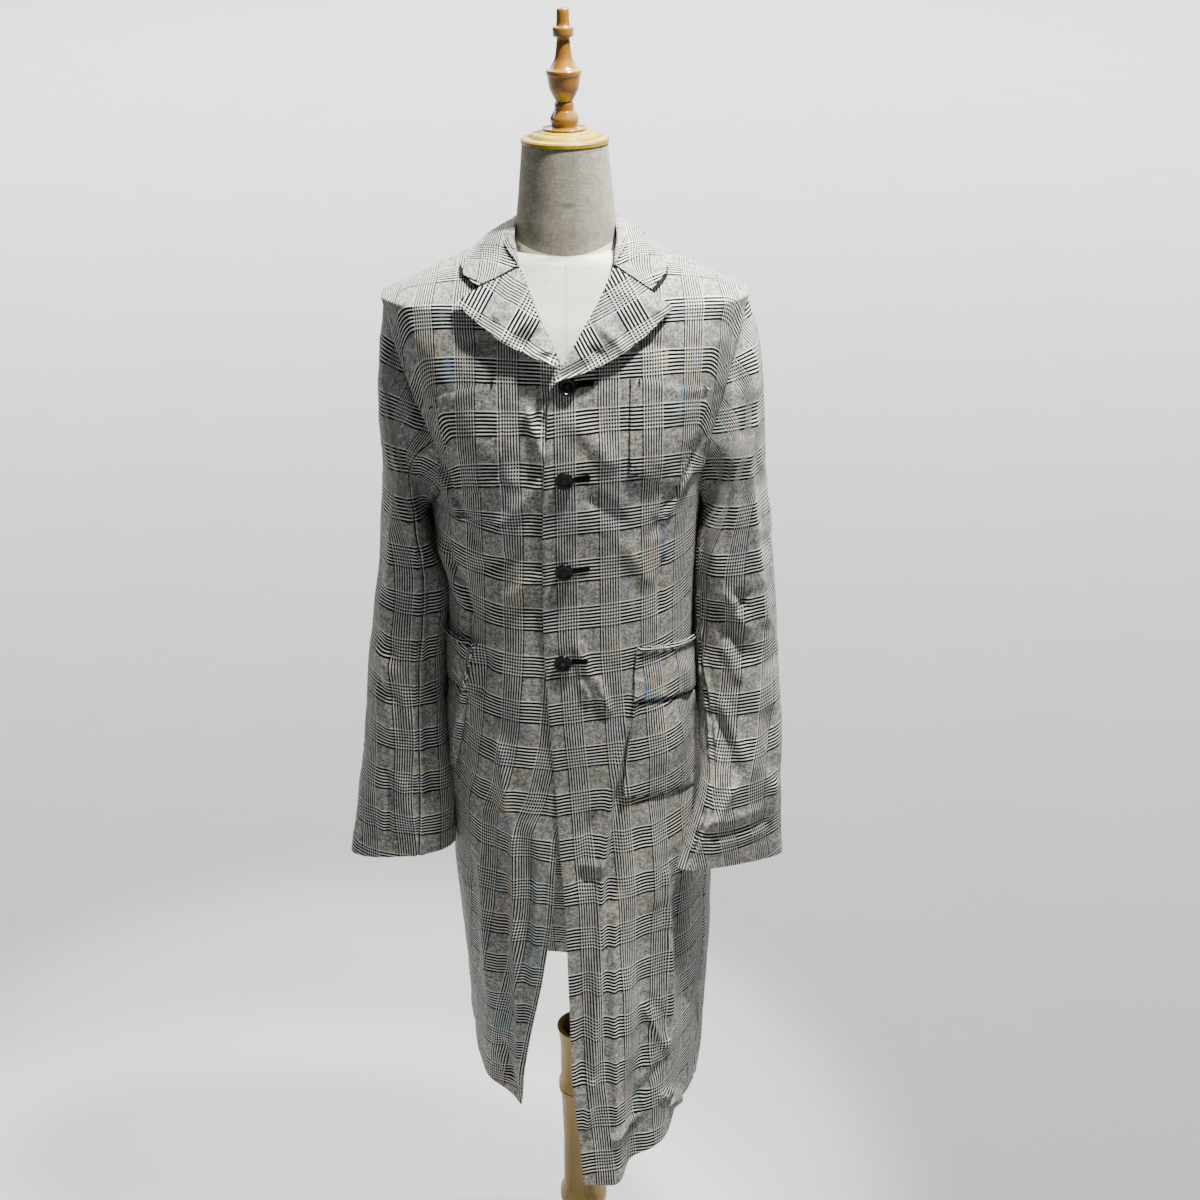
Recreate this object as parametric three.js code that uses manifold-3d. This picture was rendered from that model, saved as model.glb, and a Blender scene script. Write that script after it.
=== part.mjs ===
// A knee-length tailored wool coat on a limbless dress form with a turned pole and a round base.
// Millimetres. +Z is up, -Y is the front and +X is the wearer's left. The origin is the centre of
// the base's underside, on the axis of the form. In the tables, left and right are as seen from
// the front, so right is the wearer's left; the nodes' names say the wearer's sides.
import * as THREE from 'three';
import Module from 'manifold-3d';
import { mergeVertices } from 'three/addons/utils/BufferGeometryUtils.js';

const wasm = await Module();
wasm.setup();

// Driving dimensions of the coat
const CLOTH = 1.8; // wall of the wool cloth
const SEAM = 0.3; // gap between two pieces at a seam
const OVERLAP_DROP = 2.7; // how far the under front lies behind the upper front
const ROLL_RISE = 3.5; // how far the collar's fall bulges between its fold and its edge
const ARMHOLE_GAP = 2.2; // how far outside its armhole a sleeve starts
const PATCH_LIFT = 0.75; // gap between a pocket and the front that it lies on
const PATCH_CLOTH = 1.5;
const UNDERARM_Z = 1262;
const SHOULDER_TIP_Z = 1497;
const NECK_POINT_Z = 1562;
const LAPEL_FOOT_Z = 1430; // where the front edges turn into the roll lines
const SIDE_REACH = 150; // half width at which a seam gap is turned into an angle
const NECK_SHARE = 0.36; // share of the half back that its neckline takes
const ROUNDNESS = 2.4; // exponent of the body's horizontal sections
const BUTTON_RADIUS = 9.8;
const BUTTON_THICKNESS = 3.6;

// Driving dimensions of the stand
const BASE_RADIUS = 150;
const BASE_HEIGHT = 28;
const POLE_TOP_Z = 471;
const POLE_BORE = 24;
const ROD_RADIUS = 9;
const TORSO_BOTTOM_Z = 1005;
const NECK_TOP_Z = 1661;
const CAP_RADIUS = 48.7;
const FINIAL_FOOT_Z = 1676;
const NECK_OFFSET = -2.5; // how far the neck, cap and finial stand to the side of the form's axis
const SHOULDER_DROP = 2.7; // how far the form's shoulder line lies below the coat's
const PLATE_HALF = 178; // half width at which the form ends in a flat plate at each arm

// Horizontal sections of the worn coat: where its left and right sides, its centre front line, its
// two fronts and its back lie. The upper front hangs further forward than the under one.
const BODY = [
  { z: 400, left: -144, right: 158, centre: 6, underFront: 172, upperFront: 262, back: 162 },
  { z: 500, left: -146, right: 162, centre: 0, underFront: 174, upperFront: 240, back: 163 },
  { z: 600, left: -151, right: 168, centre: -4, underFront: 174, upperFront: 215, back: 164 },
  { z: 700, left: -156, right: 172, centre: -8, underFront: 170, upperFront: 192, back: 162 },
  { z: 800, left: -160, right: 172, centre: -10, underFront: 163, upperFront: 172, back: 157 },
  { z: 900, left: -158, right: 160, centre: -12, underFront: 156, upperFront: 156, back: 149 },
  { z: 1000, left: -155, right: 151, centre: -13, underFront: 148, upperFront: 148, back: 134 },
  { z: 1110, left: -154, right: 147, centre: -12, underFront: 141, upperFront: 141, back: 112 },
  { z: 1170, left: -156, right: 147, centre: -10, underFront: 138, upperFront: 138, back: 103 },
  { z: 1220, left: -165, right: 149, centre: -9, underFront: 138, upperFront: 138, back: 104 },
  { z: 1262, left: -167, right: 152, centre: -8, underFront: 139, upperFront: 139, back: 107 },
  { z: 1330, left: -170, right: 165, centre: -6, underFront: 138, upperFront: 138, back: 111 },
  { z: 1400, left: -193, right: 184, centre: -5, underFront: 129, upperFront: 129, back: 109 },
  { z: 1450, left: -206, right: 196, centre: -5, underFront: 117, upperFront: 117, back: 101 },
  { z: 1497, left: -214, right: 204, centre: -5, underFront: 99, upperFront: 99, back: 88 },
];
const NECK_POINT = { left: -72, right: 66, centre: -3, underFront: 67, upperFront: 67, back: 66 };

// The free front edges from the first button down, as distances to the right of the form's axis
const FRONT_EDGES = [
  { z: 400, upper: 6, under: -80 },
  { z: 490, upper: 0, under: -73 },
  { z: 590, upper: -9, under: -59 },
  { z: 700, upper: -12, under: -42 },
  { z: 780, upper: -14, under: -30 },
  { z: 872, upper: -20, under: -23 },
  { z: 930, upper: -23, under: -2 },
  { z: 1020, upper: -29, under: 16 },
  { z: 1150, upper: -34, under: 25 },
  { z: 1290, upper: -31, under: 26 },
  { z: 1364, upper: -26, under: 22 },
  { z: 1407, upper: -22, under: 12 },
  { z: 1430, upper: -15, under: -1 },
];

// The roll lines of the lapels and the neckline behind them, up to the shoulder seams
const ROLL_LINES = [
  { z: 1430, upper: -15, under: -1 },
  { z: 1473, upper: 11, under: -22 },
  { z: 1510, upper: 34, under: -38 },
  { z: 1543, upper: 51, under: -54 },
  { z: 1562, upper: 66, under: -72 },
];

// The armholes, as shares of the section's half width
const ARMHOLES = [
  { z: 1262, frontLeft: 1, frontRight: 1, backLeft: 1, backRight: 1 },
  { z: 1267, frontLeft: 0.95, frontRight: 0.985, backLeft: 0.98, backRight: 0.98 },
  { z: 1280, frontLeft: 0.9, frontRight: 0.96, backLeft: 0.95, backRight: 0.95 },
  { z: 1300, frontLeft: 0.88, frontRight: 0.95, backLeft: 0.93, backRight: 0.93 },
  { z: 1331, frontLeft: 0.88, frontRight: 0.945, backLeft: 0.925, backRight: 0.925 },
  { z: 1365, frontLeft: 0.895, frontRight: 0.945, backLeft: 0.93, backRight: 0.93 },
  { z: 1404, frontLeft: 0.915, frontRight: 0.945, backLeft: 0.94, backRight: 0.94 },
  { z: 1446, frontLeft: 0.938, frontRight: 0.955, backLeft: 0.955, backRight: 0.955 },
  { z: 1480, frontLeft: 0.975, frontRight: 0.98, backLeft: 0.98, backRight: 0.98 },
  { z: 1497, frontLeft: 1, frontRight: 1, backLeft: 1, backRight: 1 },
];

// Side seams, as degrees round the body from the centre front
const SIDE_SEAMS = [
  { z: 400, left: -100, right: 64 },
  { z: 700, left: -98, right: 68 },
  { z: 930, left: -95, right: 78 },
  { z: 1262, left: -90, right: 90 },
];

// Soft vertical folds of the skirt: degrees at the hem and at the waist, half width in degrees,
// height in millimetres at the hem, and where the fold dies out
const FOLDS = [
  { hem: -2, waist: 8, half: 7, height: 5, top: 1020 },
  { hem: 10, waist: 24, half: 6, height: 11, top: 1040 },
  { hem: 20, waist: 33, half: 6, height: -12, top: 900 },
  { hem: 34, waist: 42, half: 8, height: 6, top: 860 },
  { hem: 50, waist: 56, half: 8, height: -6, top: 800 },
  { hem: 82, waist: 88, half: 10, height: 3, top: 900 },
  { hem: 108, waist: 104, half: 9, height: -7, top: 860 },
  { hem: 135, waist: 130, half: 11, height: 9, top: 960 },
  { hem: 160, waist: 158, half: 9, height: -7, top: 900 },
  { hem: -160, waist: -158, half: 10, height: 8, top: 940 },
  { hem: -134, waist: -130, half: 10, height: -8, top: 880 },
  { hem: -112, waist: -108, half: 9, height: 8, top: 960 },
  { hem: -78, waist: -70, half: 8, height: -6, top: 860 },
  { hem: -50, waist: -34, half: 8, height: 6, top: 1010 },
  { hem: -36, waist: -18, half: 7, height: -5, top: 880 },
];

// Where the back is full at the waist: degrees and height of the middle, half sizes and depth
const WAIST_FULLNESS = [
  { degrees: 104, z: 1130, half: 14, tall: 110, height: 9 },
  { degrees: -104, z: 1110, half: 14, tall: 110, height: 7 },
];

// Heights of the hem round the body, by degrees from the centre front
const HEM = [
  { degrees: -180, z: 472 },
  { degrees: -130, z: 488 },
  { degrees: -90, z: 508 },
  { degrees: -50, z: 490 },
  { degrees: -27, z: 462 },
  { degrees: -20, z: 456 },
  { degrees: -8, z: 426 },
  { degrees: 10, z: 427 },
  { degrees: 28, z: 452 },
  { degrees: 60, z: 478 },
  { degrees: 90, z: 494 },
  { degrees: 130, z: 482 },
  { degrees: 180, z: 472 },
];

// Sleeve sections below the armhole: centre, half width sideways and half depth, how much higher
// the outer side of the section lies than its middle, and its turn about the vertical
const RIGHT_SLEEVE = [
  { z: 1345, x: 185, y: -4, wide: 31, deep: 66, tilt: 105, turn: 0 },
  { z: 1255, x: 191.5, y: -8, wide: 37.5, deep: 70, tilt: 42, turn: 0 },
  { z: 1168, x: 197, y: -16, wide: 43.5, deep: 65, tilt: 10, turn: 2 },
  { z: 1072, x: 200, y: -28, wide: 47.5, deep: 58, tilt: 2, turn: 6 },
  { z: 972, x: 204, y: -58, wide: 51, deep: 42, tilt: -6, turn: 20 },
  { z: 905, x: 202, y: -86, wide: 58, deep: 28, tilt: -10, turn: 31 },
  { z: 806, x: 190, y: -108, wide: 79, deep: 18, tilt: -15, turn: 33 },
];
const LEFT_SLEEVE = [
  { z: 1345, x: -194, y: -4, wide: 24, deep: 66, tilt: 105, turn: 0 },
  { z: 1255, x: -197, y: -8, wide: 26, deep: 71, tilt: 42, turn: 0 },
  { z: 1168, x: -196, y: -16, wide: 37.5, deep: 68, tilt: 10, turn: 0 },
  { z: 1066, x: -207, y: -28, wide: 43.3, deep: 63, tilt: 2, turn: 0 },
  { z: 972, x: -212, y: -42, wide: 48, deep: 55, tilt: 0, turn: 0 },
  { z: 890, x: -216, y: -55, wide: 56.5, deep: 45, tilt: -4, turn: -2 },
  { z: 806, x: -222.5, y: -68, wide: 63, deep: 30, tilt: -7, turn: -2 },
];

// Patch pockets, flaps and welts: sideways place of the inner edge and degrees of the outer edge, at
// the top and at the bottom, and the heights of the inner and outer corners
const HIP_RIGHT = {
  innerTop: 67, innerBottom: 56, outerTop: 72, outerBottom: 66,
  top: 1034, bottom: 915, drop: 12,
};
const HIP_LEFT = {
  innerTop: -122, innerBottom: -144, outerTop: -93, outerBottom: -106,
  top: 1040, bottom: 925, drop: 12,
};
const FLAP_RIGHT = {
  innerTop: 72, innerBottom: 66, outerTop: 76, outerBottom: 75,
  top: 1096, bottom: 1040, drop: 12,
};
const FLAP_LEFT = {
  innerTop: -112, innerBottom: -121, outerTop: -90, outerBottom: -92,
  top: 1102, bottom: 1046, drop: 12,
};
const WELT_RIGHT = {
  innerTop: 73, innerBottom: 72, outerTop: 76.5, outerBottom: 76.5,
  top: 1104, bottom: 1098, drop: 12,
};
const WELT_LEFT = {
  innerTop: -111, innerBottom: -112, outerTop: -90, outerBottom: -90,
  top: 1110, bottom: 1104, drop: 12,
};
const CHEST_RIGHT = {
  innerTop: 67, innerBottom: 65, outerTop: 57, outerBottom: 49,
  top: 1430, bottom: 1322, drop: 27,
};
const CHEST_LEFT = {
  innerTop: -74, innerBottom: -77, outerTop: -52, outerBottom: -46,
  top: 1428, bottom: 1312, drop: 30,
};

// Button centres down the front
const BUTTONS = [
  { x: -2, z: 1421 },
  { x: -7, z: 1317 },
  { x: -9, z: 1207 },
  { x: -12, z: 1094 },
];

// Finial's profile, with heights above its foot
const FINIAL = [
  { z: 0, radius: 24.5 },
  { z: 2.2, radius: 24 },
  { z: 3, radius: 14.5 },
  { z: 11.5, radius: 15.9 },
  { z: 19, radius: 12 },
  { z: 21, radius: 10.8 },
  { z: 27, radius: 10.8 },
  { z: 30, radius: 9.4 },
  { z: 35, radius: 12.1 },
  { z: 44, radius: 16.4 },
  { z: 56.5, radius: 18.3 },
  { z: 58, radius: 19.2 },
  { z: 62.5, radius: 19.2 },
  { z: 65, radius: 15 },
  { z: 74, radius: 10 },
  { z: 82, radius: 8.5 },
  { z: 96, radius: 7.4 },
  { z: 98, radius: 11.2 },
  { z: 107, radius: 11.2 },
  { z: 109, radius: 7.4 },
  { z: 125, radius: 6.6 },
  { z: 126.5, radius: 4 },
];

const radians = (degrees) => (degrees * Math.PI) / 180;
const lerp = (a, b, t) => a + (b - a) * t;
const clamp01 = (t) => Math.min(1, Math.max(0, t));
const smooth = (t) => clamp01(t) ** 2 * (3 - 2 * clamp01(t));

// Value of one column of a table at a place along its key column, on a smooth curve through the rows
function column(table, key, name, at) {
  const last = table.length - 1;
  const where = Math.min(table[last][key], Math.max(table[0][key], at));
  let i = 0;
  while (i < last - 1 && where > table[i + 1][key]) i += 1;
  const slope = (a, b) => (table[b][name] - table[a][name]) / (table[b][key] - table[a][key]);
  const here = slope(i, i + 1);
  const before = i > 0 ? slope(i - 1, i) : here;
  const after = i < last - 1 ? slope(i + 1, i + 2) : here;
  const start = before * here > 0 ? (2 * before * here) / (before + here) : 0;
  const end = after * here > 0 ? (2 * after * here) / (after + here) : 0;
  const step = table[i + 1][key] - table[i][key];
  const t = (where - table[i][key]) / step;
  const a = table[i][name];
  const b = table[i + 1][name];
  const cubic = (2 * t ** 3 - 3 * t * t + 1) * a + (3 * t * t - 2 * t ** 3) * b;
  return cubic + step * ((t ** 3 - 2 * t * t + t) * start + (t ** 3 - t * t) * end);
}

// Section of the body at a height: the straight shoulder slope above the tips, the table below
function section(z) {
  const names = ['left', 'right', 'centre', 'underFront', 'upperFront', 'back'];
  const tip = BODY[BODY.length - 1];
  const slope = clamp01((z - SHOULDER_TIP_Z) / (NECK_POINT_Z - SHOULDER_TIP_Z));
  const at = (name) => (z > SHOULDER_TIP_Z
    ? lerp(tip[name], NECK_POINT[name], slope)
    : column(BODY, 'z', name, z));
  return Object.fromEntries(names.map((name) => [name, at(name)]));
}

const power = (value, exponent) => Math.sign(value) * Math.abs(value) ** exponent;

// Angle round the body, in radians from the centre front, of a sideways place at a height
function angleAt(x, z) {
  const s = section(z);
  const reach = x >= s.centre ? s.right - s.centre : s.centre - s.left;
  const share = Math.min(1, Math.max(-1, (x - s.centre) / reach));
  return Math.asin(power(share, ROUNDNESS / 2));
}

// How far the folds and the full waist push the cloth out at an angle and a height
function foldHeight(z, angle) {
  const degrees = (((angle * 180) / Math.PI + 540) % 360) - 180;
  const waist = WAIST_FULLNESS.reduce((sum, row) => (
    sum + row.height * Math.exp(-(((degrees - row.degrees) / row.half) ** 2) - ((z - row.z) / row.tall) ** 2)), 0);
  return waist + FOLDS.reduce((sum, fold) => {
    const up = clamp01((z - 420) / (fold.top - 420));
    const middle = lerp(fold.hem, fold.waist, clamp01((z - 420) / 620));
    const away = (degrees - middle) / fold.half;
    return sum + fold.height * (1 - smooth(up)) * Math.exp(-away * away);
  }, 0);
}

// Point of the coat's outside at a height and an angle, moved out by a distance
function bodyPoint(z, angle, out = 0, front = 'upperFront') {
  const s = section(z);
  const sine = Math.sin(angle);
  const cosine = Math.cos(angle);
  const wide = sine >= 0 ? s.right - s.centre : s.centre - s.left;
  const deep = cosine >= 0 ? s[front] : s.back;
  const x = wide * power(sine, 2 / ROUNDNESS);
  const y = -deep * power(cosine, 2 / ROUNDNESS);
  const normal = new THREE.Vector2(x / (wide * wide), y / (deep * deep)).normalize();
  const push = out + foldHeight(z, angle);
  return new THREE.Vector3(s.centre + x + normal.x * push, y + normal.y * push, z);
}

// Closed body from a grid of outside points and the matching inside points
function wallBetween(outside, inside) {
  const rows = outside.length;
  const columns = outside[0].length;
  const positions = [];
  const index = [];
  [...outside, ...inside].forEach((row) => row.forEach((p) => positions.push(p.x, p.y, p.z)));
  const at = (layer, r, c) => layer * rows * columns + r * columns + c;
  const quad = (a, b, c, d) => index.push(a, b, c, a, c, d);
  for (let r = 0; r < rows - 1; r += 1) {
    for (let c = 0; c < columns - 1; c += 1) {
      quad(at(0, r, c), at(0, r, c + 1), at(0, r + 1, c + 1), at(0, r + 1, c));
      quad(at(1, r, c), at(1, r + 1, c), at(1, r + 1, c + 1), at(1, r, c + 1));
    }
    quad(at(0, r, 0), at(0, r + 1, 0), at(1, r + 1, 0), at(1, r, 0));
    quad(at(0, r + 1, columns - 1), at(0, r, columns - 1), at(1, r, columns - 1), at(1, r + 1, columns - 1));
  }
  for (let c = 0; c < columns - 1; c += 1) {
    quad(at(0, 0, c + 1), at(0, 0, c), at(1, 0, c), at(1, 0, c + 1));
    quad(at(0, rows - 1, c), at(0, rows - 1, c + 1), at(1, rows - 1, c + 1), at(1, rows - 1, c));
  }
  const geometry = new THREE.BufferGeometry();
  geometry.setAttribute('position', new THREE.Float32BufferAttribute(positions, 3));
  geometry.setIndex(index);
  return facingOut(geometry);
}

// Turns every face over where the geometry's volume comes out negative
function facingOut(geometry) {
  const p = geometry.getAttribute('position');
  const index = Array.from(geometry.getIndex().array);
  const corner = (i) => new THREE.Vector3().fromBufferAttribute(p, index[i]);
  let volume = 0;
  for (let i = 0; i < index.length; i += 3) volume += corner(i).dot(corner(i + 1).cross(corner(i + 2)));
  if (volume < 0) {
    for (let i = 0; i < index.length; i += 3) [index[i + 1], index[i + 2]] = [index[i + 2], index[i + 1]];
    geometry.setIndex(index);
  }
  return geometry;
}

// Inside of a cloth wall: each grid point moved against the surface's normal
function movedIn(grid, distance) {
  const lastRow = grid.length - 1;
  const lastColumn = grid[0].length - 1;
  return grid.map((row, r) => row.map((p, c) => {
    const across = new THREE.Vector3().subVectors(row[Math.min(c + 1, lastColumn)], row[Math.max(c - 1, 0)]);
    const up = grid[Math.min(r + 1, lastRow)][c].clone().sub(grid[Math.max(r - 1, 0)][c]);
    return p.clone().addScaledVector(across.cross(up).normalize(), -distance);
  }));
}

const gridOf = (rows, columns, pointAt) => Array.from({ length: rows + 1 }, (_, r) => (
  Array.from({ length: columns + 1 }, (__, c) => pointAt(c / columns, r / rows))));

// Sheet of cloth over points that run to the wearer's left and up, seen from outside
const sheet = (rows, columns, pointAt, thickness = CLOTH, keep = (p) => p) => {
  const outside = gridOf(rows, columns, pointAt);
  const inside = movedIn(outside, thickness).map((row, r) => row.map((p) => (r > rows - 4 ? keep(p) : p)));
  return wallBetween(outside, inside);
};

// Near the shoulder seam the inside of a front stays before the seam's plane, that of the back behind
const beforeSeam = (p) => p.setY(Math.min(p.y, -SEAM));
const behindSeam = (p) => p.setY(Math.max(p.y, SEAM));

const CROWD = 2.2; // how strongly the rows crowd towards the shoulder seam
const SKIRT_SHARE = 0.66; // share of a panel's rows that lie below the underarm

// Height and angle on a panel: below the underarm its edges are the front edge and the side seam,
// above it they are the roll line and the armhole
function panelPlace(across, up, innerAngle, outerAngle, innerTopZ) {
  if (up <= SKIRT_SHARE) {
    const t = up / SKIRT_SHARE;
    const roughZ = lerp(450, UNDERARM_Z, t);
    const angle = lerp(innerAngle(roughZ), outerAngle(roughZ), across);
    const hem = column(HEM, 'degrees', 'z', (angle * 180) / Math.PI);
    return { z: lerp(hem, UNDERARM_Z, t), angle };
  }
  const t = 1 - (1 - (up - SKIRT_SHARE) / (1 - SKIRT_SHARE)) ** CROWD;
  const innerZ = lerp(UNDERARM_Z, innerTopZ, t);
  const outerZ = lerp(UNDERARM_Z, SHOULDER_TIP_Z, t);
  const angle = lerp(innerAngle(innerZ), outerAngle(outerZ), across);
  return { z: lerp(innerZ, outerZ, across), angle };
}

const QUARTER = Math.PI / 2;
const seamShift = SEAM / SIDE_REACH; // a seam gap as an angle at the side of the body

const frontEdgeX = (z, name) => column(z < LAPEL_FOOT_Z ? FRONT_EDGES : ROLL_LINES, 'z', name, z);

// Angle of a share of the half width, on the front or the back of the body
const armholeAngle = (z, name) => Math.asin(column(ARMHOLES, 'z', name, z) ** (ROUNDNESS / 2));

function frontLeftPoint(across, up) {
  const inner = (z) => angleAt(frontEdgeX(z, 'upper'), z);
  const outer = (z) => (z <= UNDERARM_Z
    ? radians(column(SIDE_SEAMS, 'z', 'right', z)) - seamShift
    : Math.min(armholeAngle(z, 'frontRight'), QUARTER - seamShift));
  const place = panelPlace(across, up, inner, outer, NECK_POINT_Z);
  return bodyPoint(place.z, Math.min(place.angle, lerp(QUARTER * 1.2, QUARTER - seamShift, smooth(up * 3))));
}

// Depth of the under front behind the upper one, where the two overlap
function underDrop(z, angle) {
  const edge = angleAt(frontEdgeX(z, 'upper'), z);
  const closed = smooth((z - 800) / 70);
  return -OVERLAP_DROP * closed * smooth((angle - edge + 0.2) / 0.14);
}

function frontRightPoint(across, up) {
  const inner = (z) => angleAt(frontEdgeX(z, 'under'), z);
  const outer = (z) => (z <= UNDERARM_Z
    ? radians(column(SIDE_SEAMS, 'z', 'left', z)) + seamShift
    : Math.max(-armholeAngle(z, 'frontLeft'), seamShift - QUARTER));
  const place = panelPlace(1 - across, up, inner, outer, NECK_POINT_Z);
  return bodyPoint(place.z, place.angle, underDrop(place.z, place.angle), 'underFront');
}

// The back runs from the right side seam round to the left one, with the neckline in its middle
function backPoint(across, up) {
  const side = across < 0.5 ? 'Right' : 'Left';
  const fromCentre = Math.abs(across - 0.5) * 2;
  const seam = (z) => (side === 'Right'
    ? radians(column(SIDE_SEAMS, 'z', 'right', z)) + seamShift
    : radians(360 + column(SIDE_SEAMS, 'z', 'left', z)) - seamShift);
  const arm = (z) => {
    const angle = Math.max(Math.PI - armholeAngle(z, `back${side}`), QUARTER + seamShift);
    return side === 'Right' ? angle : 2 * Math.PI - angle;
  };
  const outer = (z) => (z <= UNDERARM_Z ? seam(z) : arm(z));
  if (up <= SKIRT_SHARE) {
    const t = up / SKIRT_SHARE;
    const angle = lerp(Math.PI, outer(lerp(450, UNDERARM_Z, t)), fromCentre);
    const signed = angle > Math.PI ? angle - 2 * Math.PI : angle;
    const hem = column(HEM, 'degrees', 'z', (signed * 180) / Math.PI);
    return bodyPoint(lerp(hem, UNDERARM_Z, t), signed);
  }
  const t = 1 - (1 - (up - SKIRT_SHARE) / (1 - SKIRT_SHARE)) ** CROWD;
  const outward = clamp01((fromCentre - NECK_SHARE) / (1 - NECK_SHARE));
  const top = lerp(NECK_POINT_Z, SHOULDER_TIP_Z, outward);
  const z = lerp(UNDERARM_Z, top, t);
  const tipAngle = outer(lerp(UNDERARM_Z, SHOULDER_TIP_Z, t));
  const spread = lerp(fromCentre, clamp01(fromCentre / NECK_SHARE), t ** 3);
  return bodyPoint(z, lerp(Math.PI, tipAngle, spread));
}

// Loop of an armhole: 0 at the shoulder tip, then down its front, under the arm and up its back
function armholePoint(side, turn) {
  const name = side > 0 ? 'Right' : 'Left';
  const onFront = turn <= 0.5;
  const t = onFront ? turn * 2 : (1 - turn) * 2;
  const z = lerp(SHOULDER_TIP_Z, UNDERARM_Z, smooth(t) * 0.5 + t * 0.5);
  const half = armholeAngle(z, `${onFront ? 'front' : 'back'}${name}`);
  const angle = side * (onFront ? half : Math.PI - half);
  const point = bodyPoint(z, angle, 0, side > 0 ? 'upperFront' : 'underFront');
  return point.add(new THREE.Vector3(side * ARMHOLE_GAP, 0, 0.6 * t));
}

// Point of a sleeve: round it from the outer side over its front, and down from the armhole
function sleevePoint(side, turn, down) {
  const table = side > 0 ? RIGHT_SLEEVE : LEFT_SLEEVE;
  const angle = turn * 2 * Math.PI;
  const ring = (row) => {
    const outward = Math.cos(angle);
    const forward = Math.sin(angle);
    const wide = row.wide * power(outward, 0.92) * side;
    const deep = -row.deep * power(forward, 0.92);
    const yaw = radians(row.turn);
    return new THREE.Vector3(
      row.x + wide * Math.cos(yaw) - deep * Math.sin(yaw),
      row.y + wide * Math.sin(yaw) + deep * Math.cos(yaw),
      row.z + row.tilt * outward,
    );
  };
  const rings = [armholePoint(side, turn), ...table.map(ring)];
  const curve = new THREE.CatmullRomCurve3(rings, false, 'centripetal');
  return curve.getPoint(down);
}

// A sleeve's two halves, as shares of the way round it from seam to seam. The whole tube's inside is
// worked out before it is parted, so that the halves meet in parallel faces.
const FRONT_SEAMS = { left: 0.42, right: 0.3 };
const BACK_SEAM = 0.72;
const SEAM_SHARE = 0.0007; // half a seam gap, as a share of the way round
const SLEEVE_ROWS = 18;
const PROBE = 0.02; // step of the way round or down in which a sleeve's slope is taken
function sleeveHalves(side) {
  const frontSeam = side > 0 ? FRONT_SEAMS.left : FRONT_SEAMS.right;
  const span = (from, to, columns) => Array.from({ length: columns + 1 }, (_, c) => (
    lerp(from + SEAM_SHARE, to - SEAM_SHARE, c / columns)));
  const top = span(BACK_SEAM - 1, frontSeam, 12);
  const under = span(frontSeam, BACK_SEAM, 8);
  const turns = [under[under.length - 1] - 1, ...top, ...under, top[0] + 1];
  const downAt = (r) => 1 - (r / SLEEVE_ROWS) ** 0.9;
  const at = (turn, down) => sleevePoint(side, (turn + 1) % 1, clamp01(down));
  const rows = Array.from({ length: SLEEVE_ROWS + 1 }, (_, r) => turns.map((turn) => at(turn, downAt(r))));
  const inside = rows.map((row, r) => row.map((point, c) => {
    const beside = at(turns[c] + PROBE, downAt(r)).sub(at(turns[c] - PROBE, downAt(r)));
    const below = at(turns[c], downAt(r) + PROBE).sub(at(turns[c], downAt(r) - PROBE));
    return point.clone().addScaledVector(beside.cross(below).normalize(), -side * CLOTH);
  }));
  const part = (from, count) => wallBetween(
    rows.map((row) => row.slice(from, from + count)),
    inside.map((row) => row.slice(from, from + count)),
  );
  return [part(1, top.length), part(1 + top.length, under.length)];
}

// Pocket piece laid on a front, from its named corners
function patch(corners, rows, columns, lift, thickness, swell = 0) {
  const side = Math.sign(corners.outerTop);
  const pointAt = (across, up) => {
    const innerX = lerp(corners.innerBottom, corners.innerTop, up);
    const outer = radians(lerp(corners.outerBottom, corners.outerTop, up));
    const height = lerp(corners.bottom, corners.top, up);
    const inner = angleAt(innerX, height);
    const out = side > 0 ? across : 1 - across;
    const puff = swell * Math.sin(Math.PI * across) * Math.sin(Math.PI * up);
    const front = side > 0 ? 'upperFront' : 'underFront';
    return bodyPoint(height - corners.drop * out, lerp(inner, outer, out), lift + thickness + puff, front);
  };
  return sheet(rows, columns, pointAt, thickness);
}

const AT_CORNER = 0.72; // share of a lapel's top edge that lies before its notch

// Row of a lapel: from the roll line to the inner notch corner and on to the tip
function bentRow(from, corner, tip, bend, across) {
  const between = (a, b, t) => ({ x: lerp(a.x, b.x, t), z: lerp(a.z, b.z, t) });
  const straight = between(from, tip, across);
  const half = across < AT_CORNER
    ? between(from, corner, across / AT_CORNER)
    : between(corner, tip, (across - AT_CORNER) / (1 - AT_CORNER));
  return between(straight, half, bend);
}

// Lapels: roll line, outer edge, notch corner and tip in the front view
const LAPEL_EDGE_RIGHT = [
  { t: 0, x: -12, z: 1439 },
  { t: 0.25, x: 24, z: 1445 },
  { t: 0.55, x: 60, z: 1459 },
  { t: 0.8, x: 90, z: 1480 },
  { t: 1, x: 112, z: 1501 },
];
const LAPEL_EDGE_LEFT = [
  { t: 0, x: -13, z: 1446 },
  { t: 0.25, x: -42, z: 1457 },
  { t: 0.55, x: -72, z: 1472 },
  { t: 0.8, x: -99, z: 1491 },
  { t: 1, x: -119, z: 1508 },
];
const NOTCH_RIGHT = { x: 89, z: 1516 };
const NOTCH_LEFT = { x: -96, z: 1521 };
const GORGE_RIGHT = { x: 50, z: 1541 };
const GORGE_LEFT = { x: -53, z: 1541 };

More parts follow.
